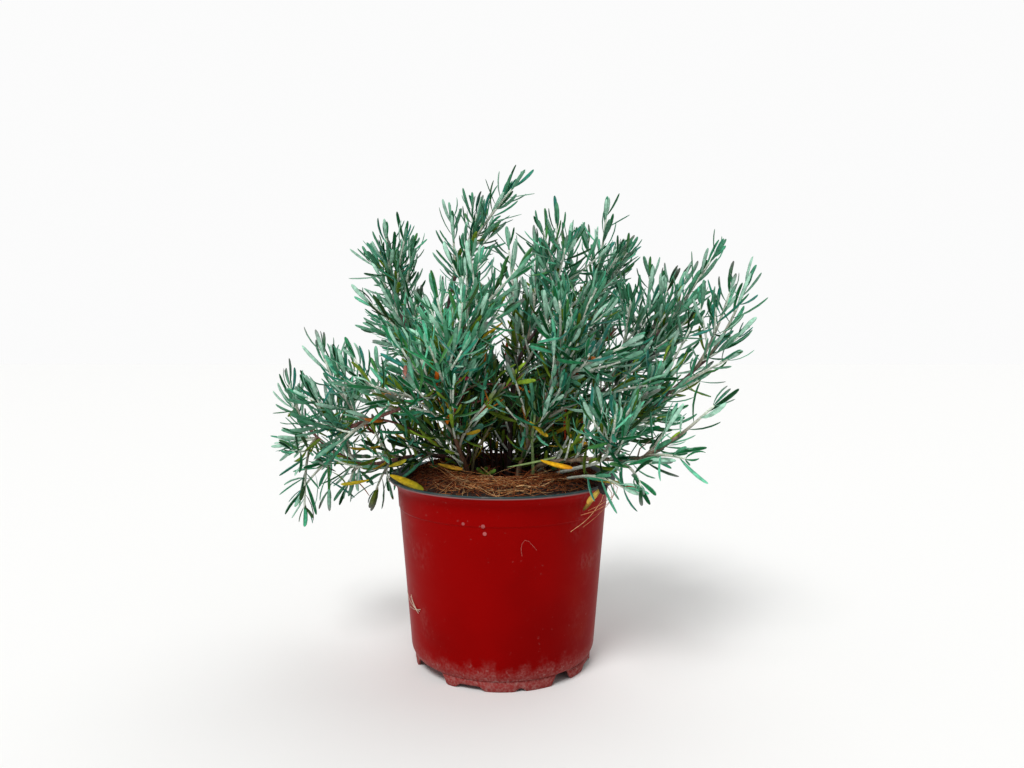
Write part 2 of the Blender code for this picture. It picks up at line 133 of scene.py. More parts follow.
def mixColours(tree, factor, first, second, blend="MIX"):
    mix = tree.nodes.new("ShaderNodeMix")
    mix.data_type = "RGBA"
    mix.blend_type = blend
    for index, value in ((0, factor), (6, first), (7, second)):
        setSocket(tree, mix.inputs[index], value)
    return mix.outputs[2]


def rangeOf(tree, value, low, high, newLow=0.0, newHigh=1.0, smooth=True):
    step = tree.nodes.new("ShaderNodeMapRange")
    step.interpolation_type = "SMOOTHSTEP" if smooth else "LINEAR"
    for socket, number in zip(step.inputs, (value, low, high, newLow, newHigh)):
        setSocket(tree, socket, number)
    return step.outputs[0]


def calculate(tree, operation, first, second):
    node = tree.nodes.new("ShaderNodeMath")
    node.operation = operation
    node.use_clamp = True
    for socket, value in zip(node.inputs, (first, second)):
        setSocket(tree, socket, value)
    return node.outputs[0]


def times(tree, first, second):
    return calculate(tree, "MULTIPLY", first, second)


def makeSpeckleGroup():     # patches of noise between two thresholds, for scuffing, dusting, blotches and painted sheen
    group = bpy.data.node_groups.new("speckle", "ShaderNodeTree")
    for socket in ("Stretch", "Scale", "Detail", "From", "To"):
        kind = "NodeSocketVector" if socket == "Stretch" else "NodeSocketFloat"
        group.interface.new_socket(name=socket, in_out="INPUT", socket_type=kind)
    for socket in ("Mask", "Grain"):
        group.interface.new_socket(name=socket, in_out="OUTPUT", socket_type="NodeSocketFloat")
    nodes, links = group.nodes, group.links
    given = nodes.new("NodeGroupInput")
    place = nodes.new("ShaderNodeTexCoord")
    turn = nodes.new("ShaderNodeVectorMath")
    turn.operation = "MULTIPLY"
    links.new(place.outputs["Object"], turn.inputs[0])
    links.new(given.outputs["Stretch"], turn.inputs[1])
    grain = nodes.new("ShaderNodeTexNoise")
    links.new(turn.outputs[0], grain.inputs["Vector"])
    links.new(given.outputs["Scale"], grain.inputs["Scale"])
    links.new(given.outputs["Detail"], grain.inputs["Detail"])
    mask = rangeOf(group, grain.outputs[0], given.outputs["From"], given.outputs["To"])
    result = nodes.new("NodeGroupOutput")
    links.new(mask, result.inputs["Mask"])
    links.new(grain.outputs[0], result.inputs["Grain"])
    return group


def placeSpeckle(tree, scale, detail, low, high, stretch=(1, 1, 1)):
    node = tree.nodes.new("ShaderNodeGroup")
    node.node_tree = speckle
    for socket, value in zip(node.inputs, (stretch, scale, detail, low, high)):
        socket.default_value = value
    return node.outputs


def addBump(tree, shader, height, strength, distance):
    bump = tree.nodes.new("ShaderNodeBump")
    bump.inputs["Strength"].default_value = strength
    bump.inputs["Distance"].default_value = distance
    tree.links.new(height, bump.inputs["Height"])
    tree.links.new(bump.outputs[0], shader.inputs["Normal"])


def objectAxes(tree):
    apart = tree.nodes.new("ShaderNodeSeparateXYZ")
    tree.links.new(tree.nodes.new("ShaderNodeTexCoord").outputs["Object"], apart.inputs[0])
    return apart.outputs


def paintedTint(tree):
    tint = tree.nodes.new("ShaderNodeAttribute")
    tint.attribute_name = "tint"
    return tint.outputs


grainForm = {"detail": 3, "from": 0.3, "to": 0.7, "roughSpread": 0.07}


def placeGrain(tree, scale, stretch=(1, 1, 1)):
    return placeSpeckle(tree, scale, grainForm["detail"], grainForm["from"], grainForm["to"], stretch)


def tintedMaterial(name, roughness, scale, contrast, bumpStrength, bumpDistance, stretch=(1, 1, 1)):
    # the colour painted on the piece, broken up by grain
    material, tree, shader = newMaterial(name, (0.5, 0.5, 0.5), roughness)
    grain = placeGrain(tree, scale, stretch)
    shade = rangeOf(tree, grain["Mask"], 0, 1, 1 - contrast, 1 + contrast, smooth=False)
    grey = tree.nodes.new("ShaderNodeCombineColor")
    for socket in grey.inputs[:3]:
        tree.links.new(shade, socket)
    colour = mixColours(tree, 1.0, paintedTint(tree)["Color"], grey.outputs[0], "MULTIPLY")
    tree.links.new(colour, shader.inputs["Base Color"])
    spread = grainForm["roughSpread"]
    rough = rangeOf(tree, grain["Mask"], 0, 1, roughness - spread, roughness + spread, smooth=False)
    tree.links.new(rough, shader.inputs["Roughness"])
    addBump(tree, shader, grain["Grain"], bumpStrength, bumpDistance)
    return material


speckle = makeSpeckleGroup()
setCamera()
setStudio()
print("camera and studio ready")


# routes, tubes and leaves

def smoothRoute(points, step):      # points in mm, step and route in metres
    points = [np.array(point) * mm for point in points]
    ends = [2 * points[0] - points[1]] + points + [2 * points[-1] - points[-2]]
    route = []
    for before, start, finish, after in zip(ends, ends[1:], ends[2:], ends[3:]):
        pieces = max(1, round(np.linalg.norm(finish - start) / step))
        for piece in range(pieces):
            t = piece / pieces
            route.append(0.5 * (2 * start + (finish - before) * t
                                + (2 * before - 5 * start + 4 * finish - after) * t ** 2
                                + (3 * start - before - 3 * finish + after) * t ** 3))
    route.append(points[-1])
    return np.array(route)


def unit(vector):
    return vector / np.linalg.norm(vector)


def sideways(along, dice):      # a random direction square to the given one
    return unit(np.cross(along, (dice.gauss(0, 1), dice.gauss(0, 1), dice.gauss(0, 1))))


def curve(start, bend, finish, count):
    shares = np.linspace(0, 1, count)[:, None]
    return start * (1 - shares) ** 2 + bend * 2 * shares * (1 - shares) + finish * shares ** 2


def turnFrames(route):      # across, side and along at each point of a route, without twist
    along = np.gradient(route, axis=0)
    along /= np.linalg.norm(along, axis=1)[:, None]
    across = np.zeros_like(along)
    across[0] = unit(np.cross(along[0], (0.3, 0.9, 0.2)))
    for level in range(1, len(route)):
        across[level] = unit(across[level - 1] - along[level] * np.dot(across[level - 1], along[level]))
    return across, np.cross(along, across), along


def pointAlong(route, fraction):
    lengths = np.linalg.norm(np.diff(route, axis=0), axis=1)
    reached = np.concatenate(([0], np.cumsum(lengths)))
    wanted = fraction * reached[-1]
    piece = max(0, min(int(np.searchsorted(reached, wanted, "right")) - 1, len(lengths) - 1))
    direction = unit(route[piece + 1] - route[piece])
    return route[piece] + direction * (wanted - reached[piece]), direction


def resample(route, rings):
    return np.array([pointAlong(route, level / rings)[0] for level in range(rings + 1)])


cutReach = 0.001        # of a tube's ring spacing


def unitTube(name, sides, rings):
    shape = bmesh.new()
    bmesh.ops.create_cone(shape, cap_ends=True, segments=sides, radius1=1, radius2=1, depth=rings)
    bmesh.ops.translate(shape, verts=shape.verts, vec=(0, 0, rings / 2))
    for level in range(1, rings):
        everything = shape.verts[:] + shape.edges[:] + shape.faces[:]
        bmesh.ops.bisect_plane(shape, geom=everything, plane_co=(0, 0, level), plane_no=(0, 0, 1),
                               dist=cutReach)
    data = meshFrom(shape, name)
    data.attributes.new("tint", "FLOAT_COLOR", "POINT")
    places = np.zeros(len(data.vertices) * 3)
    data.vertices.foreach_get("co", places)
    places = places.reshape(-1, 3)
    corner = np.rint(np.arctan2(places[:, 1], places[:, 0]) / (2 * math.pi / sides)).astype(int) % sides
    return {"data": data, "rings": rings, "level": np.rint(places[:, 2]).astype(int), "corner": corner,
            "x": places[:, 0:1], "y": places[:, 1:2]}


def addCopy(shape, template, places, colours, leafy):
    data = template["data"].copy()
    data.vertices.foreach_set("co", np.ascontiguousarray(places, np.float32).ravel())
    paint = np.empty((len(places), 4), np.float32)
    paint[:, :3] = np.clip(colours, 0, 1)
    paint[:, 3] = leafy         # the skin's material tells leaf from twig by the alpha
    data.attributes["tint"].data.foreach_set("color", paint.ravel())
    shape.from_mesh(data)
    bpy.data.meshes.remove(data)


barkRoughness = (-0.18, 0.22)


def addTube(shape, template, route, radii, footColour, endColour, roughen=None):
    route = resample(route, template["rings"])
    across, side, along = turnFrames(route)
    level = template["level"]
    share = level[:, None] / template["rings"]
    radius = np.interp(share[:, 0], np.linspace(0, 1, len(radii)), radii)[:, None]
    if roughen:
        radius = radius * np.array([[1 + roughen.uniform(*barkRoughness)] for _ in level])
    places = route[level] + (across[level] * template["x"] + side[level] * template["y"]) * radius
    colours = np.array(footColour) * (1 - share) + np.array(endColour) * share
    addCopy(shape, template, places, colours, 0.0)


leafForm = {
    "along": (0, 0.06, 0.18, 0.42, 0.70, 0.89, 0.97, 1.0),
    "width": (0.26, 0.40, 0.66, 0.92, 1.0, 0.80, 0.50, 0.16),
    # the section, from the right margin over the top: across and up, as shares of the width
    "section": ((0.5, -0.03), (0.28, 0.10), (0, 0.02), (-0.28, 0.10),
                (-0.5, -0.03), (-0.30, -0.13), (0, -0.09), (0.30, -0.13)),
    "upperCorners": (1, 2, 3),
    "midribCorner": 2, "midribShade": 1.35,
    "marginCorners": (0, 4), "marginShade": 0.5,      # how far the margins go towards the pale underside
    "leastBend": 1e-3,
}


def addLeaf(shape, base, heading, upper, length, width, bend, upperColour, underColour, tipColour=None):
    template = tubes["leaf"]
    across = unit(np.cross(heading, upper))
    upper = np.cross(across, heading)
    along = np.array(leafForm["along"])[template["level"]]
    wide = np.array(leafForm["width"])[template["level"]] * width
    section = np.array(leafForm["section"])[template["corner"]]
    turn = bend * along
    straight = abs(bend) < leafForm["leastBend"]
    reach = length * (along if straight else np.sin(turn) / bend)
    rise = length * (0 * along if straight else (1 - np.cos(turn)) / bend)
    localUp = upper * np.cos(turn)[:, None] - heading * np.sin(turn)[:, None]
    places = (base + heading * reach[:, None] + upper * rise[:, None]
              + across * (section[:, 0] * wide)[:, None] + localUp * (section[:, 1] * wide)[:, None])
    top = np.isin(template["corner"], leafForm["upperCorners"])
    colours = np.where(top[:, None], upperColour, underColour)
    margin = np.isin(template["corner"], leafForm["marginCorners"])
    share = leafForm["marginShade"]
    marginColour = np.array(upperColour) * (1 - share) + np.array(underColour) * share
    colours = np.where(margin[:, None], marginColour, colours)
    rib = template["corner"] == leafForm["midribCorner"]
    colours = np.where(rib[:, None], colours * leafForm["midribShade"], colours)
    if tipColour is not None:
        towardsTip = (along ** 3)[:, None]
        colours = colours * (1 - towardsTip) + np.array(tipColour) * towardsTip
    addCopy(shape, template, places, colours, 1.0)


tubes = {       # sides and lengths
    "twig": unitTube("twigTube", 5, 8),
    "stem": unitTube("stemTube", 9, 40),
    "fibre": unitTube("fibreTube", 3, 7),
    "leaf": unitTube("leafTube", 8, 7),
}


def finishPiece(name, shape, material, slot, *replaced):
    piece = addObject(name, meshFrom(shape, name))
    piece.data.materials.append(material)
    piece.data.shade_smooth()
    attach(piece, "root")
    if replaced:
        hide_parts(*replaced)
    return piece


# the pot

pot = {
    "height": 156.5 * mm, "lipRadius": 95 * mm, "collarTop": 88.6 * mm, "collarFoot": 87.6 * mm,
    "collarHeight": 132 * mm, "wallTop": 86.8 * mm, "wallFoot": 77.6 * mm,
    "footHeight": 9 * mm, "footRadius": 74.4 * mm, "outerLayer": 1.0 * mm, "wall": 1.8 * mm,
    "floorThickness": 1.3 * mm, "layerGap": 0.05 * mm,
    "segments": 240, "floorSegments": 96, "holeSegments": 20,
    # angle from the front, width and length of the slopes, degrees
    "gaps": ((39.5, 17, 4.5), (127, 36, 5), (-140.5, 17, 4.5), (-53, 36, 5)), "gapCeiling": 0.7 * mm,
    # angle from the middle of each foot, width and slopes in degrees, depth in mm
    "notches": ((-13, 21, 5, 3.8), (18, 8, 3.2, 2.6)),
    "drainHoles": 8, "drainRadius": 5 * mm, "drainCircle": 52 * mm,
    # the pale pink is real dusting and scuffing, and at the pot's sides also painted sheen
    "red": (0.285, 0.0004, 0.0004), "deepRed": (0.215, 0.0002, 0.0002), "dustAndSheen": (0.33, 0.115, 0.105),
    # the grey-pink edge colour is a painted highlight along the lip
    "liner": (0.010, 0.040, 0.044), "edge": (0.24, 0.17, 0.17), "chalk": (0.38, 0.20, 0.18),
    # the orange-red is painted warm sheen for the pot's right side
    "warmSheenColour": (0.27, 0.020, 0.006), "dirt": (0.10, 0.10, 0.09), "deepLinerColour": (0.03, 0.02, 0.014),
}
# speckle patterns: scale, detail, the noise where a patch begins and is full, stretch
potSpeckles = {
    "tone": (9, 3, 0.35, 0.7), "specks": (260, 5, 0.66, 0.76), "speckZone": (14, 2, 0.47, 0.62),
    "mottle": (420, 8, 0.36, 0.70, (1, 1, 0.6)), "mottleZone": (34, 6, 0.44, 0.72),
    "warm": (60, 8, 0.40, 0.75),
    "dustTop": (110, 8, 0.2, 0.8), "splash": (520, 8, 0.25, 0.80), "chalk": (300, 8, 0.58, 0.76),
    "ripple": (22, 2, 0, 1, (1, 1, 3.0)), "dirt": (120, 5, 0.5, 0.72),
}
potWearAndSheen = {
    "leftSide": (-45 * mm, -80 * mm), "rightSide": (40 * mm, 82 * mm),      # the pot's sides, which carry painted sheen: where they begin and are full
    "scuffsWithSheen": (0.35, 0.7), "sheenMottling": (0.0, 0.55), "warmSheen": 0.5,           # in the middle and at the sides, where the rise is painted sheen, and the strength of the painted warm sheen on the right
    "dustEdge": (20 * mm, 32 * mm), "fullDust": 4 * mm, "leastDust": 0.25,
    "lipHighlightBand": (2.5 * mm, 1.9 * mm), "lipHighlightStrength": 0.8,                        # painted highlight along the lip: where it begins and is full below the pot's top, and its strength
    # the liner turns darker from 3 to 12 mm below the pot's top, and how strongly
    "innerDarkening": (3 * mm, 12 * mm), "innerDarkeningStrength": 0.6,
    "roughness": (0.42, 0.85), "ripple": (0.25, 2 * mm), "linerGrain": (0.2, 0.6 * mm),
}
potShine = {"Specular IOR Level": 0.02, "Sheen Weight": 0.09, "Sheen Roughness": 0.25}


mergeReach = 0.001 * mm


def spinOutline(outline, segments, closed=True):
    shape = bmesh.new()
    corners = [shape.verts.new((radius, 0, height)) for radius, height in outline]
    pairs = list(zip(corners, corners[1:]))
    if closed:
        pairs.append((corners[-1], corners[0]))
    edges = [shape.edges.new(pair) for pair in pairs]
    bmesh.ops.spin(shape, geom=corners + edges, axis=(0, 0, 1), cent=(0, 0, 0), angle=2 * math.pi,
                   steps=segments, use_merge=True)
    bmesh.ops.remove_doubles(shape, verts=shape.verts, dist=mergeReach)
    bmesh.ops.recalc_face_normals(shape, faces=shape.faces)
    if shape.calc_volume(signed=True) < 0:
        bmesh.ops.reverse_faces(shape, faces=shape.faces)
    return shape


def paintPlain(shape, colour):
    layer = shape.verts.layers.float_color.new("tint")
    for vert in shape.verts:
        vert[layer] = (*colour, 1)


def roundCorner(corner, before, after, radius):     # points of a small arc in place of a corner
    corner, before, after = (np.array(point, float) for point in (corner, before, after))
    start = corner + unit(before - corner) * radius
    finish = corner + unit(after - corner) * radius
    return [tuple(point) for point in curve(start, corner, finish, 4)]


def rounded(points, radii):
    outline = []
    for index, (point, radius) in enumerate(zip(points, radii)):
        if radius:
            outline += roundCorner(point, points[index - 1], points[(index + 1) % len(points)], radius)
        else:
            outline.append(point)
    return outline


def softStep(value):
    value = min(1, max(0, value))
    return value * value * (3 - 2 * value)


def degreesApart(angle, other):
    return abs((angle - other + 180) % 360 - 180)


def footEdge(angle):    # height of the foot ring's lower edge at an angle in degrees from the front
    height = 0.0
    gapAngles = [gap[0] for gap in pot["gaps"]]
    for gap, width, slope in pot["gaps"]:
        opening = softStep((width / 2 - degreesApart(angle, gap)) / slope)
        height = max(height, opening * (pot["footHeight"] - pot["gapCeiling"]))
    for gap, following in zip(gapAngles, gapAngles[1:] + gapAngles[:1]):
        middle = gap + ((following - gap) % 360) / 2
        for notch, width, slope, depth in pot["notches"]:
            opening = softStep((width / 2 - degreesApart(angle, middle + notch)) / slope)
            height = max(height, opening * depth * mm)
    return height


def makeRedPlastic():
    material, tree, shader = newMaterial("redPotPlastic", pot["red"], 0.34)
    axes = objectAxes(tree)

    def patches(name):
        return placeSpeckle(tree, *potSpeckles[name])["Mask"]

    # the pot's left and right sides, where painted sheen is laid
    rightSide = rangeOf(tree, axes["X"], *potWearAndSheen["rightSide"])
    sides = calculate(tree, "ADD", rangeOf(tree, axes["X"], *potWearAndSheen["leftSide"]), rightSide)
    # real scuffing, made stronger at the sides as painted sheen
    scuffedWithSheen = times(tree, patches("specks"), patches("speckZone"))
    scuffedWithSheen = times(tree, scuffedWithSheen, rangeOf(tree, sides, 0, 1, *potWearAndSheen["scuffsWithSheen"]))
    # painted sheen: pale mottles on the sides only
    mottledSheen = times(tree, patches("mottle"), patches("mottleZone"))
    mottledSheen = times(tree, mottledSheen, rangeOf(tree, sides, 0, 1, *potWearAndSheen["sheenMottling"]))
    # painted warm sheen: orange-red patches on the right side only
    warmSheen = times(tree, times(tree, patches("warm"), rightSide), potWearAndSheen["warmSheen"])
    dustEdge = rangeOf(tree, patches("dustTop"), 0, 1, *potWearAndSheen["dustEdge"])
    nearFoot = rangeOf(tree, axes["Z"], dustEdge, potWearAndSheen["fullDust"])
    dusty = times(tree, nearFoot, rangeOf(tree, patches("splash"), 0, 1, potWearAndSheen["leastDust"], 1))
    chalky = times(tree, patches("chalk"), nearFoot)
    # painted highlight: a pale band along the top of the lip
    lip = rangeOf(tree, axes["Z"], *(pot["height"] - below for below in potWearAndSheen["lipHighlightBand"]))
    colour = mixColours(tree, patches("tone"), pot["red"], pot["deepRed"])
    for mask, name in ((warmSheen, "warmSheenColour"), (mottledSheen, "dustAndSheen"), (scuffedWithSheen, "dustAndSheen"), (dusty, "dustAndSheen"),
                       (chalky, "chalk"), (times(tree, lip, potWearAndSheen["lipHighlightStrength"]), "edge")):
        colour = mixColours(tree, mask, colour, pot[name])
    tree.links.new(colour, shader.inputs["Base Color"])
    rough = rangeOf(tree, calculate(tree, "ADD", dusty, scuffedWithSheen), 0, 1, *potWearAndSheen["roughness"])
    tree.links.new(rough, shader.inputs["Roughness"])
    addBump(tree, shader, placeSpeckle(tree, *potSpeckles["ripple"])["Grain"], *potWearAndSheen["ripple"])
    for socket, value in potShine.items():
        shader.inputs[socket].default_value = value
    return material


def makeLinerPlastic():
    material, tree, shader = newMaterial("darkPotLiner", pot["liner"], 0.5)
    dirt = placeSpeckle(tree, *potSpeckles["dirt"])
    colour = mixColours(tree, dirt["Mask"], pot["liner"], pot["dirt"])
    # darker from 3 to 12 mm below the pot's top, towards the peat
    low = rangeOf(tree, objectAxes(tree)["Z"], *(pot["height"] - below for below in potWearAndSheen["innerDarkening"]))
    colour = mixColours(tree, times(tree, low, potWearAndSheen["innerDarkeningStrength"]), colour, pot["deepLinerColour"])
    tree.links.new(colour, shader.inputs["Base Color"])
    addBump(tree, shader, dirt["Grain"], *potWearAndSheen["linerGrain"])
    return material


def makePotWall():      # a red outer and a dark inner layer
    height, lip, skin = pot["height"], pot["lipRadius"], pot["outerLayer"]
    foot, gap = pot["footHeight"], pot["layerGap"]
    outer = [(pot["wallFoot"] - 2.2 * mm, foot), (pot["wallFoot"], foot + 4.5 * mm),
             (pot["wallTop"], pot["collarHeight"] - 0.5 * mm),
             (pot["collarFoot"], pot["collarHeight"] + 0.5 * mm),
             (pot["collarTop"], height - 8 * mm), (lip - 2.6 * mm, height - 3.2 * mm),
             (lip, height - 2.2 * mm), (lip, height - 1.3 * mm),
             (lip - 4 * mm, height - 1.7 * mm), (pot["collarTop"] - skin, height - 7 * mm),
             (pot["collarFoot"] - skin, pot["collarHeight"] + 1.2 * mm),
             (pot["wallTop"] - skin, pot["collarHeight"]),
             (pot["wallFoot"] - skin, foot + 5 * mm), (pot["wallFoot"] - 3.2 * mm, foot + 1.4 * mm)]
    radii = [0.4, 2.4, 0.4, 0.4, 3.0, 1.2, 0.35, 0.35, 0, 0, 0, 0, 0, 0]
    shape = spinOutline(rounded(outer, [radius * mm for radius in radii]), pot["segments"])
    finishPiece("pot_outer_layer", shape, redPlastic, "pot_plastic", "nursery_pot")
    inner = [(lip - 0.1 * mm, height - 1.2 * mm), (lip - 0.1 * mm, height - 0.3 * mm),
             (lip - 0.8 * mm, height), (lip - 4 * mm, height - 0.6 * mm),
             (pot["collarTop"] - pot["wall"], height - 6 * mm),
             (pot["collarFoot"] - pot["wall"], pot["collarHeight"]),
             (pot["wallFoot"] - pot["wall"], foot + 6 * mm),
             (pot["wallFoot"] - skin - gap, foot + 6 * mm),
             (pot["wallTop"] - skin - gap, pot["collarHeight"]),
             (pot["collarFoot"] - skin - gap, pot["collarHeight"] + 1.2 * mm),
             (pot["collarTop"] - skin - gap, height - 7 * mm), (lip - 4 * mm, height - 1.6 * mm)]
    shape = spinOutline(inner, pot["segments"])
    finishPiece("pot_inner_layer", shape, makeLinerPlastic(), "pot_plastic")


def makeFootRing():
    foot, ring = pot["footHeight"], pot["footRadius"]
    footRing = [(ring - pot["wall"], foot), (ring - pot["wall"], 0), (ring - 0.4 * mm, 0), (ring, 0.4 * mm),
                (ring + 0.5 * mm, foot - pot["layerGap"])]
    shape = spinOutline(footRing, pot["segments"])
    for vert in shape.verts:
        if vert.co.z < foot / 2:
            angle = math.degrees(math.atan2(vert.co.x, -vert.co.y))
            vert.co.z += footEdge(angle)
    finishPiece("pot_foot_ring", shape, redPlastic, "pot_plastic")


def makePotFloor():
    shape = bmesh.new()
    bmesh.ops.create_circle(shape, segments=pot["floorSegments"], radius=pot["wallFoot"] - 2.3 * mm)
    circle, radius = pot["drainCircle"], pot["drainRadius"]
    for hole in range(pot["drainHoles"]):
        turn = 2 * math.pi * hole / pot["drainHoles"] + math.pi / 2
        place = Matrix.Translation((circle * math.cos(turn), circle * math.sin(turn), 0))
        bmesh.ops.create_circle(shape, segments=pot["holeSegments"], radius=radius, matrix=place)
    bmesh.ops.triangle_fill(shape, use_beauty=True, edges=shape.edges[:])
    bmesh.ops.translate(shape, verts=shape.verts, vec=(0, 0, pot["footHeight"] + pot["layerGap"]))
    grown = bmesh.ops.extrude_face_region(shape, geom=shape.faces[:])
    raised = [item for item in grown["geom"] if isinstance(item, bmesh.types.BMVert)]
    bmesh.ops.translate(shape, verts=raised, vec=(0, 0, pot["floorThickness"]))
    bmesh.ops.recalc_face_normals(shape, faces=shape.faces)
    piece = finishPiece("pot_floor", shape, redPlastic, "pot_plastic")
    piece.data.set_sharp_from_angle(angle=math.radians(35))


redPlastic = makeRedPlastic()
makePotWall()
makeFootRing()
makePotFloor()
print("pot made")


# peat, coir mat and loose fibres

filling = {
    "peatTop": 145 * mm, "peatRadius": 84.8 * mm, "peatFootRadius": 74.5 * mm, "peatFoot": 11.6 * mm,
    "peatSegments": 72, "peatRings": (78, 68, 58, 48, 40, 34, 28, 22, 16, 10, 5),
    # frequency, roughness, height and sinking of the crumbs, and how low and high they may stand
    "peatCrumbs": (130, 0.8, 1.8 * mm, 0.8 * mm), "peatUneven": (-2.5 * mm, 0.2 * mm),
    "matProfile": ((35, 147.5), (38, 152.5), (43, 157), (49, 161), (56, 163), (63, 162.3), (70, 160.5),
                   (76, 157.5), (81, 154.5), (85.2, 152)),          # radius and top, mm
    "matSegments": 120, "matTufts": (95, 0.9, 1.6 * mm, 0.6 * mm), "matEdge": 84 * mm,
    "fibres": 2700, "crossingShare": 0.30, "looseShare": 0.13, "fibreThickness": (0.13, 0.30),
    "fibreRing": (36, 86, 66), "fibreLimits": (33 * mm, 85.0 * mm),     # mm: least, most and usual radius
    "fibreLength": (10, 46), "fibreCurl": (0.5, 4.0), "fibreLift": (-0.2, 1.3), "fibreWave": 0.9 * mm,
    "drift": 8, "crossingDrift": 24, "crossingTurn": 0.3, "looseRise": 5 * mm,      # mm
    "shadeSpread": (0.6, 1.35), "shadeFrom": 0.5, "shadeOver": 0.45,    # radians from the front
    "fibreColours": ((0.42, 0.120, 0.036), (0.21, 0.045, 0.014), (0.56, 0.24, 0.085), (0.05, 0.009, 0.004),
                     (0.70, 0.42, 0.20), (0.28, 0.085, 0.028)),
    "sideShade": (0.42, 0.26, 0.24),        # how much darker the fibres are away from the front
    "peatColour": (0.010, 0.007, 0.005), "matColour": (0.018, 0.006, 0.003),
}


def matTop(radius):
    reach, top = zip(*filling["matProfile"])
    return float(np.interp(radius / mm, reach, top)) * mm


def roughness(point, frequency, persistence, height, sinking):
    return noise.fractal(point * frequency, persistence, 2.0, 4) * height - sinking


def makePeat():
    material = tintedMaterial("darkPeat", 0.92, 420, 0.7, 0.9, 2 * mm)
    top, radius = filling["peatTop"], filling["peatRadius"]
    outline = [(0, filling["peatFoot"]), (filling["peatFootRadius"] * 0.96, filling["peatFoot"]),
               (filling["peatFootRadius"], filling["peatFoot"] + 4 * mm), (radius, top - 2 * mm),
               (radius - 2 * mm, top)]
    outline += [(reach * mm, top) for reach in filling["peatRings"]] + [(0, top)]
    shape = spinOutline(outline, filling["peatSegments"], closed=False)
    lowest, highest = filling["peatUneven"]
    for vert in shape.verts:
        if vert.co.z > top - 1 * mm:
            vert.co.z += max(lowest, min(highest, roughness(vert.co, *filling["peatCrumbs"])))
    paintPlain(shape, filling["peatColour"])
    finishPiece("peat_root_ball", shape, material, "peat", "growing_medium")


def makeMat():
    material = tintedMaterial("coirMat", 0.95, 260, 0.75, 1.0, 3 * mm, (1, 1, 0.5))
    underside = filling["peatTop"] + 0.3 * mm
    outline = [(reach * mm, top * mm) for reach, top in filling["matProfile"]]
    outline = [(outline[0][0], underside)] + outline + [(outline[-1][0], underside)]
    shape = spinOutline(outline, filling["matSegments"])
    for vert in shape.verts:
        if vert.co.z > underside + 1 * mm and math.hypot(vert.co.x, vert.co.y) < filling["matEdge"]:
            vert.co.z += roughness(vert.co, *filling["matTufts"])
    paintPlain(shape, filling["matColour"])
    finishPiece("coir_mat", shape, material, "coir", "coir_mulch")


def addFibre(shape, dice):      # one bent fibre that follows the top of the mat
    radius = dice.triangular(*filling["fibreRing"]) * mm
    start = dice.uniform(0, 2 * math.pi)
    crossing = dice.random() < filling["crossingShare"]
    length = dice.uniform(*filling["fibreLength"]) * mm
    arc = length / radius * dice.choice((-1, 1)) * (filling["crossingTurn"] if crossing else 1)
    drift = dice.gauss(0, filling["crossingDrift" if crossing else "drift"]) * mm
    wave = dice.uniform(0, 6.3)
    lift = dice.uniform(*filling["fibreLift"]) * mm
    curl = dice.uniform(*filling["fibreCurl"]) * mm
    loose = dice.random() < filling["looseShare"]
    nearest, farthest = filling["fibreLimits"]
    route = []
    for t in np.linspace(0, 1, 10):
        reach = radius + drift * (t - 0.5) + curl * math.sin(wave + 6.5 * t)
        reach = min(max(reach, nearest), farthest)
        height = matTop(reach) + lift + (filling["fibreWave"] * math.sin(wave * 2 + 7 * t))
        if loose:
            height += filling["looseRise"] * t ** 2 * (1 + math.sin(wave))
        angle = start + arc * t
        route.append((reach * math.sin(angle), -reach * math.cos(angle), height))
    shade = np.array(dice.choice(filling["fibreColours"])) * dice.uniform(*filling["shadeSpread"])
    fromFront = abs((start + math.pi) % (2 * math.pi) - math.pi)
    aside = min(1, max(0, (fromFront - filling["shadeFrom"]) / filling["shadeOver"]))
    shade *= 1 - aside + np.array(filling["sideShade"]) * aside
    thick = dice.uniform(*filling["fibreThickness"]) * mm
    addTube(shape, tubes["fibre"], np.array(route), (thick, thick * 0.6), shade, shade * 0.9)


def makeFibres():
    material = tintedMaterial("coirFibre", 0.8, 500, 0.25, 0.3, 0.4 * mm)
    material.node_tree.nodes["Principled BSDF"].inputs["Specular IOR Level"].default_value = 0.1
    dice = random.Random(21)
    shape = bmesh.new()
    for number in range(filling["fibres"]):
        addFibre(shape, dice)
    finishPiece("coir_fibres", shape, material, "coir")


makePeat()
makeMat()
makeFibres()
print("peat and coir made")


# stems: the same routes as the solid model's, mm

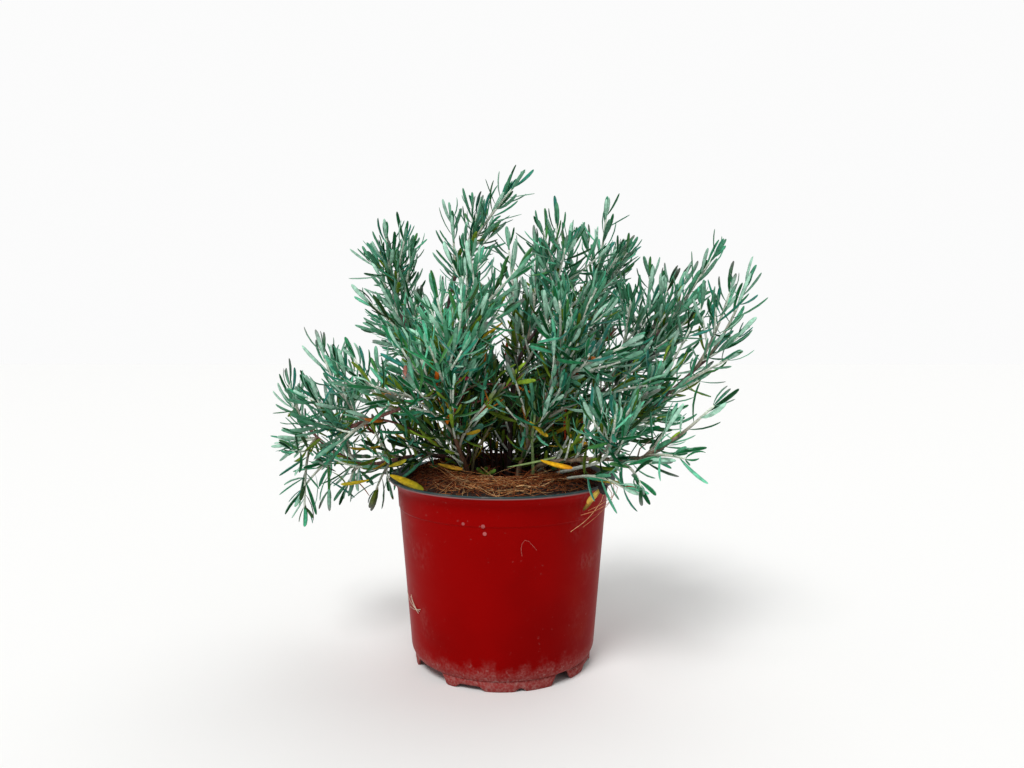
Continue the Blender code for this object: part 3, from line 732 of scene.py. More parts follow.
stems = {
    "upper_left_stem": [(-27, -8, 145.4), (-38, -8, 168), (-46, 0, 206), (-60, 8, 248), (-84, 15, 282),
                        (-93, 20, 312)],
    "tall_stem": [(-18, 14, 145.4), (-29, 16, 170), (-37, 22, 208), (-50, 34, 260), (-47, 32, 306),
                  (-36, 24, 337)],
    "front_left_stem": [(-22, -20, 145.4), (-30, -27, 168), (-39, -45, 203), (-38, -55, 251),
                        (-31, -55, 274)],
    "centre_stem": [(3, 0, 145.4), (6, 0, 170), (7, -4, 207), (15, -10, 257), (38, -12, 290)],
    "upper_right_stem": [(14, 13, 145.4), (18, 14, 168), (33, 26, 208), (52, 36, 256), (76, 40, 300)],
    "front_right_stem": [(10, -20, 145.4), (14, -23, 166), (31, -42, 215), (46, -55, 253)],
    "right_stem": [(22, 0, 145.4), (30, 1, 166), (59, 4, 197), (97, 4, 240), (131, -4, 276)],
    "far_right_stem": [(27, -12, 145.4), (38, -14, 168), (84, -22, 191), (130, -34, 225), (163, -38, 256)],
    "low_right_stem": [(22, -23, 145.4), (28, -30, 168), (66, -56, 178), (104, -76, 182), (130, -86, 200)],
    "low_left_stem": [(-30, 4, 145.4), (-40, 5, 165), (-60, 8, 171), (-86, 11, 168), (-119, 16, 161),
                      (-153, 26, 174), (-177, 34, 195)],
    "arching_left_stem": [(4, 18, 145.4), (2, 14, 180), (-4, -2, 220), (-26, -26, 236), (-62, -50, 224),
                          (-100, -56, 209), (-124, -52, 200)],
    "back_left_stem": [(-12, 27, 145.4), (-20, 34, 168), (-52, 66, 216), (-84, 96, 262)],
    "back_right_stem": [(9, 29, 145.4), (15, 36, 170), (48, 72, 222), (80, 98, 270)],
}
stemForm = {
    "radii": (2.1 * mm, 1.2 * mm), "step": 14 * mm,
    "stubs": 5, "stubsAt": (0.12, 0.8), "stubLength": (3, 11), "stubRadii": (0.75 * mm, 0.35 * mm),
}
barkColours = {
    "purple": ((0.055, 0.030, 0.028), (0.085, 0.045, 0.045)),
    "red": ((0.10, 0.035, 0.028), (0.16, 0.060, 0.050)),
    "peeling": ((0.17, 0.075, 0.035), (0.11, 0.055, 0.040)),
    "tan": ((0.24, 0.16, 0.09), (0.22, 0.16, 0.12)),
}
stemBark = {"front_left_stem": "peeling", "arching_left_stem": "red", "low_left_stem": "red",
            "low_right_stem": "tan", "front_right_stem": "tan"}

# shoots: place along the stem from 0 at the peat to 1 at its end, and the twig's tip, mm
shoots = {
    "upper_left_stem": [(1.0, (-99, 12, 356)), (0.94, (-81, -6, 352)), (0.86, (-116, 36, 338)),
                        (0.72, (-70, -14, 299)), (0.62, (-110, 28, 278))],
    "tall_stem": [(1.0, (10, 4, 398)), (0.95, (-22, 26, 378)), (0.90, (-46, 42, 376))],
    "front_left_stem": [(1.0, (-18, -40, 331)), (0.90, (13, -66, 324)), (0.75, (-48, -72, 302)),
                        (0.55, (-52, -95, 267))],
    "centre_stem": [(1.0, (44, -18, 364)), (0.92, (60, 8, 354)), (0.80, (28, 14, 350))],
    "upper_right_stem": [(1.0, (90, 30, 378)), (0.78, (112, 60, 348))],
    "front_right_stem": [(1.0, (72, -60, 310)), (0.90, (43, -78, 300)), (0.75, (91, -95, 267))],
    "right_stem": [(1.0, (175, -10, 341)), (0.93, (158, 20, 322)), (0.80, (128, 28, 325)),
                   (0.65, (104, -22, 302))],
    "far_right_stem": [(1.0, (194, -34, 313)), (0.92, (174, -58, 307)), (0.78, (171, -68, 256))],
    "low_right_stem": [(1.0, (153, -98, 224)), (0.80, (131, -108, 187)), (0.52, (80, -114, 219)),
                       (0.64, (97, -122, 170))],
    "low_left_stem": [(1.0, (-190, 34, 230)), (0.88, (-192, 48, 176)), (0.74, (-174, 8, 140)),
                      (0.66, (-137, 34, 224))],
    "arching_left_stem": [(1.0, (-150, -48, 230)), (0.90, (-144, -34, 262)), (0.80, (-112, -64, 257)),
                          (0.62, (-74, -76, 264))],
    "back_left_stem": [(1.0, (-116, 124, 306)), (0.80, (-56, 122, 318))],
    "back_right_stem": [(1.0, (112, 122, 314)), (0.80, (38, 124, 326))],
}

bark = tintedMaterial("oldBark", 0.78, 700, 0.45, 0.9, 1.2 * mm, (1, 1, 0.25))
stemRoutes = {}


def makeStem(name, seed):
    dice = random.Random(seed)
    route = smoothRoute(stems[name], stemForm["step"])
    stemRoutes[name] = route
    foot, end = barkColours[stemBark.get(name, "purple")]
    shape = bmesh.new()
    addTube(shape, tubes["stem"], route, stemForm["radii"], foot, end, roughen=dice)
    for stub in range(stemForm["stubs"]):       # short dead twigs and leaf scars
        base, along = pointAlong(route, dice.uniform(*stemForm["stubsAt"]))
        outward = sideways(along, dice)
        reach = dice.uniform(*stemForm["stubLength"]) * mm
        spur = np.array([base, base + (outward * 0.8 + along * 0.4) * reach,
                         base + (outward + along) * reach * 1.3])
        addTube(shape, tubes["fibre"], spur, stemForm["stubRadii"], foot, end)
    finishPiece(name + "_wood", shape, bark, "bark", name)


for number, stemName in enumerate(stems):
    makeStem(stemName, 100 + number)
print("stems made")


# leafy shoots

foliage = {
    "twigFoot": 1.35 * mm, "twigEnd": 0.85 * mm,
    "leafGap": 3.95 * mm, "leafLength": 26.5 * mm, "leafWidth": 3.4 * mm,
    # degrees off the twig, then the spread round it and each leaf's own bend
    "leanAtFoot": 74, "leanAtTip": 34, "leanSpread": 22, "tipLean": 14, "leastLean": 8,
    "turnSpread": 14, "bend": (30, 16),
    "upward": (0, 0, 0.10),
    "bareShare": 0.08, "leastLeaves": 5, "tipLeaves": 3,
    "lengthSpread": (0.82, 1.12), "widthSpread": (0.82, 1.15), "tipWidth": 0.75,
    "sizeAtFoot": 0.66, "sizeGain": 0.40, "tipShrink": 0.22,
    "sideTwigs": 3, "sideTwigsFrom": (0.12, 0.5), "sideReach": (0.38, 0.55),
    "bareShoots": (4, 6, 7, 8, 21, 22, 25, 27, 28, 29, 31, 34),     # shoots without side twigs
    "sparseShoots": {27: 1.4, 28: 1.8, 29: 1.6, 31: 1.5, 33: 1.4, 34: 1.6},
    "upper": ((0.016, 0.170, 0.062), (0.046, 0.275, 0.145), (0.002, 0.045, 0.010), (0.115, 0.450, 0.275),
              (0.006, 0.092, 0.026), (0.020, 0.175, 0.115), (0.060, 0.315, 0.185), (0.048, 0.180, 0.045),
              (0.027, 0.185, 0.145), (0.004, 0.075, 0.022)),
    "under": ((0.43, 0.72, 0.56), (0.18, 0.42, 0.28), (0.085, 0.29, 0.165)),
    "upperSpread": (0.75, 1.25), "underSpread": (0.8, 1.1),
    "tip": (0.22, 0.22, 0.21), "tippedShare": 0.22, "tippedFrom": 0.8,
    # the shade colour is painted shade for leaves deep in the crown
    "olive": (0.085, 0.135, 0.012), "oliveUpTo": 0.3, "oliveShare": 0.15, "shade": (0.016, 0.042, 0.012),
    "shadeShare": 0.55, "brightShare": 0.09,        # of the old and shaded leaves: the share painted dark as shade, the rest olive, and the share in autumn colours
    "bright": {"yellow": (0.55, 0.36, 0.02), "orange": (0.55, 0.17, 0.02), "red": (0.42, 0.05, 0.02)},
    "twigOld": (0.20, 0.16, 0.11), "twigYoung": (0.84, 0.90, 0.78),
    # painted light and shade over parts of the crown: x and height of the middle, reach (mm), brightness
    # painted on the leaves there
    "paintedLightPatches": ((-50, 275, 50, 1.4), (-134, 198, 24, 0.7), (92, 254, 26, 0.7), (125, 215, 28, 1.3)),
}


def leafColours(growth, dice, shadedAndOldShare):
    upper = np.array(dice.choice(foliage["upper"])) * dice.uniform(*foliage["upperSpread"])
    under = np.array(dice.choice(foliage["under"])) * dice.uniform(*foliage["underSpread"])
    chance = dice.random()
    # the old and shaded share: most painted dark as shade, the rest olive, a few in autumn colours
    if chance < shadedAndOldShare:
        kind = "shade" if dice.random() < foliage["shadeShare"] else "olive"
        upper = np.array(foliage[kind]) * dice.uniform(0.6, 1.5)
        under = upper * 2.0
        if dice.random() < foliage["brightShare"]:
            kind = dice.choice(("yellow", "orange", "yellow", "red"))
            upper = np.array(foliage["bright"][kind]) * dice.uniform(0.6, 1.1)
            under = upper
    elif growth < foliage["oliveUpTo"] and chance > 1 - foliage["oliveShare"]:
        upper = np.array(foliage["olive"]) * dice.uniform(0.7, 1.4)
        under = upper * 1.6
    return upper, under


def paintedLightAt(place):        # painted light and shade: leaves in some parts of the crown are painted lighter, in others darker
    pale = 1.0
    for x, height, reach, brightness in foliage["paintedLightPatches"]:
        away = math.hypot(place[0] / mm - x, place[2] / mm - height) / reach
        pale *= brightness ** math.exp(-away ** 2)
    return pale


def growLeaves(shape, route, dice, lengthScale, shadedAndOldShare=0.0, sparse=1.0):
    spin = dice.uniform(0, 6.28)
    tipped = dice.random() < foliage["tippedShare"]
    across, side, along = turnFrames(route)
    total = np.linalg.norm(np.diff(route, axis=0), axis=1).sum()
    leafyShare = 1 - foliage["bareShare"]
    count = max(foliage["leastLeaves"], round(total * leafyShare / foliage["leafGap"] / sparse))
    for number in range(count + foliage["tipLeaves"]):
        growth = min(1.0, number / count)
        atTip = number > count
        place = foliage["bareShare"] + leafyShare * growth
        base, direction = pointAlong(route, min(place, 0.995))
        level = min(int(place * (len(route) - 1)), len(route) - 1)
        turnSpread, leanSpread = foliage["turnSpread"], foliage["leanSpread"]
        angle = spin + number * goldenAngle + math.radians(dice.uniform(-turnSpread, turnSpread))
        outward = unit(across[level] * math.cos(angle) + side[level] * math.sin(angle))
        outward = unit(outward - direction * np.dot(outward, direction))
        lean = foliage["leanAtFoot"] + (foliage["leanAtTip"] - foliage["leanAtFoot"]) * growth ** 1.3
        lean += dice.uniform(-leanSpread, leanSpread) - (foliage["tipLean"] if atTip else 0)
        lean = math.radians(max(foliage["leastLean"], lean))
        heading = unit(outward * math.sin(lean) + direction * math.cos(lean) + np.array(foliage["upward"]))
        upper = unit(direction * math.sin(lean) - outward * math.cos(lean))
        swelling = math.sin(math.pi * min(1, 0.12 + 0.75 * growth))
        size = foliage["sizeAtFoot"] + foliage["sizeGain"] * swelling
        size -= foliage["tipShrink"] if atTip else 0
        length = foliage["leafLength"] * size * dice.uniform(*foliage["lengthSpread"]) * lengthScale
        width = foliage["leafWidth"] * dice.uniform(*foliage["widthSpread"])
        width *= foliage["tipWidth"] if atTip else 1
        bend = math.radians(dice.gauss(*foliage["bend"]))
        # the leaf's colours take the painted light and shade of its place
        upperColour, underColour = (colour * paintedLightAt(base) for colour in leafColours(growth, dice, shadedAndOldShare))
        tip = foliage["tip"] if growth > foliage["tippedFrom"] and tipped else None
        start = base + outward * foliage["twigEnd"] * 0.8
        addLeaf(shape, start, heading, upper, length, width, bend, upperColour, underColour, tip)


def twigRoute(stemRoute, fraction, tip):
    joint, along = pointAlong(stemRoute, fraction)
    reach = np.linalg.norm(tip - joint)
    return curve(joint, joint + (along + unit(tip - joint)) * 0.5 * 0.4 * reach, tip, 24)


def growSideTwig(shape, route, place, sideReach, upward, leafScale, dice, shadedAndOldShare=0.0, backward=0.0):
    start, along = pointAlong(route, place)
    outward = sideways(along, dice)
    finish = start + unit(outward * 0.62 + along * 0.6 + np.array((0, backward, upward))) * sideReach
    lowest, highest = np.array(cadBox)
    finish = np.clip(finish, lowest + bushForm["margin"], highest - bushForm["margin"])
    side = curve(start, start + (along + outward) * 0.5 * sideReach * 0.45, finish, 12)
    young = np.array(foliage["twigYoung"])
    radii = (foliage["twigFoot"] * 0.75, foliage["twigEnd"] * 0.85)
    addTube(shape, tubes["twig"], side, radii, young * 0.7, young)
    growLeaves(shape, side, dice, leafScale, shadedAndOldShare)


def growShoot(shape, stemRoute, fraction, tip, sideTwigs, dice, shadedAndOldShare=0.0, sparse=1.0):
    route = twigRoute(stemRoute, fraction, tip)
    radii = (foliage["twigFoot"], foliage["twigEnd"])
    addTube(shape, tubes["twig"], route, radii, foliage["twigOld"], foliage["twigYoung"])
    growLeaves(shape, route, dice, 1.0, shadedAndOldShare, sparse)
    reach = np.linalg.norm(route[-1] - route[0])
    for number in range(sideTwigs):
        place = dice.uniform(*foliage["sideTwigsFrom"])
        growSideTwig(shape, route, place, reach * dice.uniform(*foliage["sideReach"]), 0.25, 0.9, dice, shadedAndOldShare)


def makeShoot(number, stemRoute, fraction, tip):
    dice = random.Random(number)
    shape = bmesh.new()
    sideTwigs = 0 if number in foliage["bareShoots"] else foliage["sideTwigs"]
    sparse = foliage["sparseShoots"].get(number, 1.0)
    growShoot(shape, stemRoute, fraction, tip, sideTwigs, dice, sparse=sparse)
    name = f"leafy_shoot_{number:02d}"
    finishPiece(name + "_foliage", shape, foliageSkin, "leaf", name)


bushForm = {
    "margin": 18 * mm,      # kept inside the solid model's box
    # part of the stem, spacing, reach (mm), upward and backward pull, leaf scale, share of old and
    # painted-shade leaves
    "outer": (0.40, 0.98, 10 * mm, (32, 56), 0.6, 0.0, 0.92, 0.12),
    "inner": (0.10, 0.40, 9 * mm, (20, 42), 0.3, 0.5, 0.95, 0.85),
    "endsAt": {"tall_stem": 0.62, "upper_left_stem": 0.72, "far_right_stem": 0.62, "low_right_stem": 0.62,
               "arching_left_stem": 0.78, "low_left_stem": 0.80},
}
# further shoots that the solid model leaves out: place along the stem, tip (mm), share of old and
# painted-shade leaves
extraShoots = {
    "centre_stem": [(0.62, (5, 5, 349), 0.1), (0.5, (47, -20, 296), 0.3)],
    "front_left_stem": [(0.62, (-13, -46, 286), 0.1), (0.4, (-78, -62, 232), 0.4),
                        (0.3, (-8, -62, 226), 0.6)],
    "right_stem": [(0.45, (112, -40, 252), 0.2), (0.35, (40, -36, 246), 0.6), (0.62, (134, -24, 270), 0.1),
                   (0.85, (142, 10, 318), 0.05), (0.9, (156, -6, 300), 0.05)],
    "low_right_stem": [(0.8, (129, -62, 208), 0.1), (0.55, (112, -82, 180), 0.1)],
    "upper_left_stem": [(0.5, (-110, 2, 300), 0.35), (0.8, (-76, 2, 340), 0.1)],
    "far_right_stem": [(0.55, (151, -30, 280), 0.1), (0.45, (136, -28, 262), 0.2),
                       (0.6, (158, -30, 238), 0.1), (0.4, (120, -45, 226), 0.2),
                       (0.3, (104, -66, 198), 0.2), (0.5, (126, -42, 212), 0.1)],
    "front_right_stem": [(0.5, (112, -60, 236), 0.1), (0.62, (65, -52, 290), 0.1),
                         (0.35, (10, -58, 240), 0.5)],
    "low_left_stem": [(0.78, (-150, 10, 140), 0.2), (0.62, (-136, 22, 142), 0.3),
                      (0.45, (-108, 0, 142), 0.4), (0.9, (-168, -4, 128), 0.2),
                      (0.4, (-103, -30, 196), 0.5),
                      (0.3, (-84, -22, 204), 0.6), (0.22, (-76, -36, 186), 0.6)],
    "arching_left_stem": [(0.35, (-60, -46, 270), 0.2), (0.68, (-96, -84, 238), 0.1),
                          (0.9, (-126, -66, 190), 0.1)],
    "upper_right_stem": [(0.5, (70, 10, 300), 0.3), (0.35, (56, 30, 268), 0.7)],
    "tall_stem": [(0.3, (-20, 40, 262), 0.7), (0.42, (-34, 14, 292), 0.3), (0.92, (-12, 14, 364), 0.0),
                  (0.97, (2, 12, 392), 0.0)],
    "back_left_stem": [(0.4, (-20, 60, 262), 0.8), (0.5, (-90, 60, 262), 0.7)],
    "back_right_stem": [(0.4, (22, 60, 262), 0.8), (0.5, (92, 60, 268), 0.7)],
}


def makeBush(name, seed):       # the leafy side twigs that fill the crown around one stem
    dice = random.Random(seed)
    route = stemRoutes[name]
    total = np.linalg.norm(np.diff(route, axis=0), axis=1).sum()
    shape = bmesh.new()
    for layer in ("outer", "inner"):
        start, end, spacing, sideReach, upward, backward, leafScale, shadedAndOldShare = bushForm[layer]
        if layer == "outer":
            end = bushForm["endsAt"].get(name, end)
        count = round(total * (end - start) / spacing)
        for number in range(count):
            place = start + (end - start) * (number + dice.random()) / count
            reach = dice.uniform(*sideReach) * mm
            growSideTwig(shape, route, place, reach, upward, leafScale, dice, shadedAndOldShare, backward)
    for fraction, tip, shadedAndOldShare in extraShoots.get(name, []):
        growShoot(shape, route, fraction, np.array(tip) * mm, 1, dice, shadedAndOldShare)
    finishPiece(name + "_side_twigs", shape, foliageSkin, "leaf")


innerStems = {
    "count": 18, "footCircle": (6, 30), "height": (62, 118), "outward": (12, 62), "footHeight": 144.5,
    "lean": 8, "spread": 210,       # mm, and degrees of the circle, centred on the back
    # shares of old and painted-shade leaves on these stems and on their side twigs
    "radii": (1.1 * mm, 0.6 * mm), "step": 5 * mm, "shadedAndOldLeaves": 0.9,
    "sideTwigs": 2, "sideTwigsFrom": (0.3, 0.85), "sideReach": (22, 40), "shadedAndOldSideLeaves": 0.8,
}


def makeInnerStems():       # thin young stems that crowd the middle of the plant
    dice = random.Random(77)
    shape = bmesh.new()
    footColour, topColour = barkColours["purple"][0], barkColours["red"][1]
    for number in range(innerStems["count"]):
        turn = math.radians((number / (innerStems["count"] - 1) - 0.5) * innerStems["spread"])
        outward = np.array((math.sin(turn), math.cos(turn), 0))
        foot = outward * dice.uniform(*innerStems["footCircle"])
        foot = foot + np.array((0, 0, innerStems["footHeight"]))
        height = dice.uniform(*innerStems["height"])
        reach = dice.uniform(*innerStems["outward"])
        lean = innerStems["lean"]
        top = foot + outward * reach + np.array((dice.gauss(0, lean), dice.gauss(0, lean), height))
        bend = foot + outward * reach * 0.25 + np.array((0, 0, height * 0.55))
        route = smoothRoute([foot, bend, top], innerStems["step"])
        addTube(shape, tubes["twig"], route, innerStems["radii"], footColour, topColour)
        growLeaves(shape, resample(route, 30)[6:], dice, 0.95, innerStems["shadedAndOldLeaves"])
        for side in range(innerStems["sideTwigs"]):
            place = dice.uniform(*innerStems["sideTwigsFrom"])
            sideReach = dice.uniform(*innerStems["sideReach"]) * mm
            growSideTwig(shape, route, place, sideReach, 0.3, 0.9, dice, innerStems["shadedAndOldSideLeaves"], 0.3)
    finishPiece("inner_thin_stems", shape, foliageSkin, "leaf")


# single stems and branches at the front: route (mm), radii, colours at foot and end, share of old and
# painted-shade leaves
frontStems = [
    ([(25, -30, 145), (25, -35, 167), (24, -40, 190), (26, -45, 212), (24, -48, 226)], (1.4, 0.9),
     (0.20, 0.30, 0.10), (0.32, 0.45, 0.20), 0.25),
    ([(-26, -4, 146), (-23, -10, 174), (-4, -15, 212), (-8, -18, 246)], (1.2, 0.8),
     (0.30, 0.24, 0.12), (0.30, 0.28, 0.16), 0.7),
    ([(-41, -30, 206), (-25, -45, 233), (4, -48, 236), (34, -44, 240)], (1.1, 0.7),
     (0.16, 0.05, 0.045), (0.24, 0.08, 0.07), 0.6),
    ([(-38, -36, 218), (-14, -52, 224), (10, -50, 238)], (0.8, 0.6),
     (0.20, 0.06, 0.05), (0.26, 0.09, 0.07), 0.6),
    ([(-30, 4, 150), (-62, -26, 190), (-96, -44, 208), (-118, -50, 204)], (1.3, 0.8),
     (0.12, 0.045, 0.035), (0.22, 0.10, 0.09), 0.5),
    ([(38, -26, 160), (60, -58, 172), (76, -78, 182), (87, -82, 207), (98, -90, 226)], (1.5, 0.9),
     (0.34, 0.36, 0.32), (0.66, 0.70, 0.60), 0.1),
    ([(46, -36, 158), (66, -72, 168), (80, -84, 167), (90, -92, 163)], (1.2, 0.8),
     (0.30, 0.32, 0.28), (0.60, 0.66, 0.52), 0.1),
]


def makeFrontStems():
    dice = random.Random(5)
    shape = bmesh.new()
    for points, radii, footColour, endColour, shadedAndOldShare in frontStems:
        route = smoothRoute(points, 4 * mm)
        radii = [radius * mm for radius in radii]
        addTube(shape, tubes["stem"], route, radii, footColour, endColour, roughen=dice)
        growLeaves(shape, resample(route, 40)[16:], dice, 0.95, shadedAndOldShare)
    finishPiece("front_stems", shape, foliageSkin, "leaf")


skin = {
    "bloomScale": 330, "bloomShade": (0.76, 1.24), "leafRoughness": (0.46, 0.62),
    "downScale": 600, "downShade": (0.70, 1.30), "twigRoughness": 0.72,
    "bump": (0.3, 0.5 * mm), "shine": 0.09,
}


def makeFoliageSkin():      # waxy leaves where the tint's alpha is 1, downy twigs where it is 0
    material, tree, shader = newMaterial("leafAndTwigSkin", foliage["upper"][0], 0.55)
    tint = paintedTint(tree)
    leafy = tint["Alpha"]
    bloom, down = placeGrain(tree, skin["bloomScale"]), placeGrain(tree, skin["downScale"])
    bloomShade = rangeOf(tree, bloom["Mask"], 0, 1, *skin["bloomShade"], smooth=False)
    downShade = rangeOf(tree, down["Mask"], 0, 1, *skin["downShade"], smooth=False)
    shade = mixColours(tree, leafy, downShade, bloomShade)
    colour = mixColours(tree, 1.0, tint["Color"], shade, "MULTIPLY")
    tree.links.new(colour, shader.inputs["Base Color"])
    leafRough = rangeOf(tree, bloom["Mask"], 0, 1, *skin["leafRoughness"], smooth=False)
    rough = rangeOf(tree, leafy, 0, 1, skin["twigRoughness"], leafRough, smooth=False)
    tree.links.new(rough, shader.inputs["Roughness"])
    addBump(tree, shader, down["Grain"], *skin["bump"])
    shader.inputs["Specular IOR Level"].default_value = skin["shine"]
    return material


foliageSkin = makeFoliageSkin()
shootNumber = 0
for stemName, plan in shoots.items():
    for fraction, tip in plan:
        shootNumber += 1
        makeShoot(shootNumber, stemRoutes[stemName], fraction, np.array(tip) * mm)
print("shoots made:", shootNumber)
for number, stemName in enumerate(stems):
    makeBush(stemName, 300 + number)
makeInnerStems()
makeFrontStems()
print("side twigs made")


# loose leaves, a dead flower head, a weed seedling, stray fibres and dried drops

# foot, tip (mm), width (mm), bend (degrees), facing, colour, colour at the tip
looseLeaves = [
    ((-107, -36, 158), (-128, -44, 154), 4.6, 12, (0, -0.6, 1), (0.62, 0.44, 0.02), (0.45, 0.40, 0.03)),
    ((30, -60, 178), (54, -68, 171), 5.2, 14, (0, -0.8, 1), (0.75, 0.40, 0.01), (0.65, 0.22, 0.01)),
    ((70, -60, 163), (92, -64, 162), 4.0, -10, (0, -0.8, 1), (0.70, 0.50, 0.06), (0.72, 0.55, 0.12)),
    ((76, -66, 157), (64, -71, 146), 4.6, 20, (0.3, -1, 0.4), (0.60, 0.42, 0.08), (0.50, 0.25, 0.04)),
    ((72, -66, 152), (63, -72, 141), 3.2, -24, (0.4, -1, 0.2), (0.30, 0.18, 0.03), (0.10, 0.05, 0.01)),
    ((-46, -44, 200), (-36, -52, 222), 4.6, 16, (0.2, -1, 0.3), (0.62, 0.16, 0.01), (0.70, 0.06, 0.02)),
    ((-52, -52, 232), (-48, -58, 250), 4.4, 10, (-0.3, -1, 0.3), (0.70, 0.10, 0.01), (0.72, 0.25, 0.02)),
    ((-42, -54, 238), (-24, -60, 241), 3.6, 12, (0, -1, 0.6), (0.45, 0.02, 0.06), (0.60, 0.05, 0.12)),
    ((-74, -66, 236), (-72, -70, 252), 3.4, 8, (0.2, -1, 0.1), (0.60, 0.25, 0.20), (0.50, 0.15, 0.12)),
    ((62, -52, 258), (74, -58, 255), 3.8, 12, (0, -1, 0.7), (0.60, 0.12, 0.02), (0.62, 0.28, 0.05)),
    ((-14, -24, 160), (-4, -28, 164), 3.8, 20, (0, -1, 0.6), (0.20, 0.42, 0.05), (0.24, 0.50, 0.08)),
    ((-14, -24, 160), (-22, -28, 166), 3.6, 20, (0, -1, 0.6), (0.16, 0.36, 0.05), (0.22, 0.46, 0.08)),
    ((-14, -24, 160), (-13, -30, 169), 3.6, 20, (0, -1, 0.4), (0.20, 0.42, 0.06), (0.24, 0.52, 0.10)),
    ((4, -46, 170), (44, -56, 178), 2.0, 14, (0, -1, 0.6), (0.20, 0.28, 0.10), (0.24, 0.32, 0.12)),
    ((-52, -30, 170), (-30, -44, 166), 4.2, 14, (0, -1, 0.8), (0.62, 0.36, 0.03), (0.50, 0.22, 0.02)),
    ((52, -40, 196), (72, -52, 184), 4.4, 14, (0, -1, 0.6), (0.62, 0.34, 0.02), (0.45, 0.16, 0.01)),
    ((22, -44, 206), (36, -52, 194), 4.0, 14, (0, -1, 0.6), (0.55, 0.40, 0.02), (0.50, 0.30, 0.02)),
    ((-92, -30, 168), (-74, -42, 174), 4.4, 14, (0, -1, 0.7), (0.45, 0.36, 0.02), (0.30, 0.30, 0.02)),
    ((-30, -36, 188), (-14, -50, 206), 6.0, 10, (0.3, -1, 0.3), (0.10, 0.28, 0.20), (0.06, 0.20, 0.14)),
]
fallenLeaf = {
    "foot": (-89, -41, 162.8), "tip": (-61, -57, 156.6), "width": 8.0, "bend": -14,
    "facing": (0.2, -0.8, 1), "colour": (0.50, 0.33, 0.012), "underColour": (0.42, 0.30, 0.05),
    "tipColour": (0.20, 0.24, 0.015),
}
deadFlower = {"place": (78, -68, 157.5), "bumps": 9, "shift": 3.2, "radius": (1.4, 2.6),
              "colour": (0.020, 0.010, 0.012)}
strayFibres = [     # routes (mm) and colour
    ([(84, -50, 160), (90, -60, 155), (78, -66, 146), (66, -70, 141)], (0.70, 0.34, 0.16)),
    ([(80, -56, 160), (85, -66, 150), (74, -70, 142), (60, -73, 138)], (0.62, 0.26, 0.12)),
    ([(76, -62, 158), (78, -64, 150), (66, -70, 135), (52, -76, 126)], (0.72, 0.40, 0.20)),
    ([(88, -48, 158), (86, -58, 148), (74, -64, 136), (62, -70, 128)], (0.50, 0.20, 0.10)),
    ([(-66, -47.6, 54), (-72, -38.4, 55), (-77, -26, 57), (-80, -15, 60)], (0.62, 0.50, 0.38)),
    ([(-67, -46.2, 52), (-71, -41, 56), (-75, -32, 61)], (0.66, 0.54, 0.42)),
    ([(-65, -48.8, 56), (-71, -40, 53), (-76, -28, 51)], (0.58, 0.46, 0.34)),
    ([(-68, -45, 53), (-72.5, -38, 59), (-74, -36, 64)], (0.62, 0.50, 0.38)),
]
hairFibre = [(15.4, -85.0, 110), (14.6, -85.9, 116), (16, -86.4, 121), (19, -85.9, 122.4),
             (22.4, -84.8, 119), (26.4, -83.3, 114)]
strayForm = {"radii": (0.26 * mm, 0.18 * mm), "step": 3 * mm,
             "hairRadii": (0.13 * mm, 0.11 * mm), "hairStep": 1.5 * mm, "hairColour": (0.45, 0.16, 0.13)}
potDrops = [(-13.6, -86.6, 132.8), (-12.4, -85.8, 127), (-28.5, -82.6, 134)]     # on the pot's side, mm
potDropForm = {"radius": 1.5 * mm, "flat": 0.35, "colour": (0.42, 0.10, 0.10)}


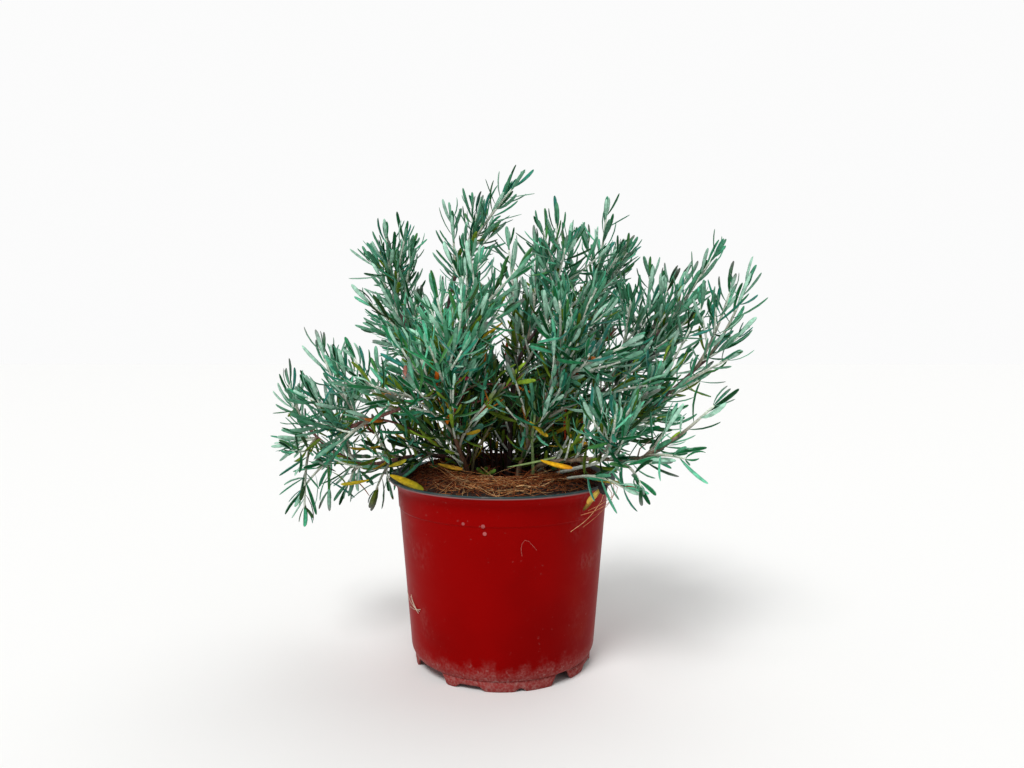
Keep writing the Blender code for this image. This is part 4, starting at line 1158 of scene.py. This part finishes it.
def layLeaf(shape, foot, tip, width, bend, facing, colour, underColour, tipColour):
    foot, tip = np.array(foot) * mm, np.array(tip) * mm
    length = np.linalg.norm(tip - foot)
    addLeaf(shape, foot, unit(tip - foot), np.array(facing, float), length, width * mm, math.radians(bend),
            colour, underColour, tipColour)


def makeLooseLeaves():
    shape = bmesh.new()
    for foot, tip, width, bend, facing, colour, tipColour in looseLeaves:
        layLeaf(shape, foot, tip, width, bend, facing, colour, np.array(colour) * 0.8, tipColour)
    finishPiece("old_leaves", shape, foliageSkin, "yellow_leaf")


def makeFallenLeaf():
    shape = bmesh.new()
    layLeaf(shape, **fallenLeaf)
    finishPiece("yellow_fallen_leaf", shape, foliageSkin, "yellow_leaf", "fallen_leaf")


def makeDeadFlower():
    dice = random.Random(9)
    shape = bmesh.new()
    for bump in range(deadFlower["bumps"]):
        shift = Vector([dice.uniform(-deadFlower["shift"], deadFlower["shift"]) for axis in range(3)])
        place = Matrix.Translation((Vector(deadFlower["place"]) + shift) * mm)
        radius = dice.uniform(*deadFlower["radius"]) * mm
        bmesh.ops.create_icosphere(shape, subdivisions=2, radius=radius, matrix=place)
    paintPlain(shape, deadFlower["colour"])
    finishPiece("dead_flower_head", shape, bark, "bark")


def makeStrayFibres():
    shape = bmesh.new()
    for points, colour in strayFibres:
        route = smoothRoute(points, strayForm["step"])
        addTube(shape, tubes["twig"], route, strayForm["radii"], colour, colour)
    hair, colour = smoothRoute(hairFibre, strayForm["hairStep"]), strayForm["hairColour"]
    addTube(shape, tubes["twig"], hair, strayForm["hairRadii"], colour, colour)
    finishPiece("stray_fibres", shape, foliageSkin, "coir")


def makePotDrops():
    shape = bmesh.new()
    for point in potDrops:
        turn = Vector((point[0], point[1], 0)).to_track_quat("Z", "Y").to_matrix().to_4x4()
        flat = Matrix.Diagonal((1, 1, potDropForm["flat"], 1))
        place = Matrix.Translation(Vector(point) * mm) @ turn @ flat
        bmesh.ops.create_icosphere(shape, subdivisions=3, radius=potDropForm["radius"], matrix=place)
    paintPlain(shape, potDropForm["colour"])
    finishPiece("dried_drops", shape, foliageSkin, "pot_plastic")


makeLooseLeaves()
makeFallenLeaf()
makeDeadFlower()
makeStrayFibres()
makePotDrops()
print("loose leaves and fibres made")
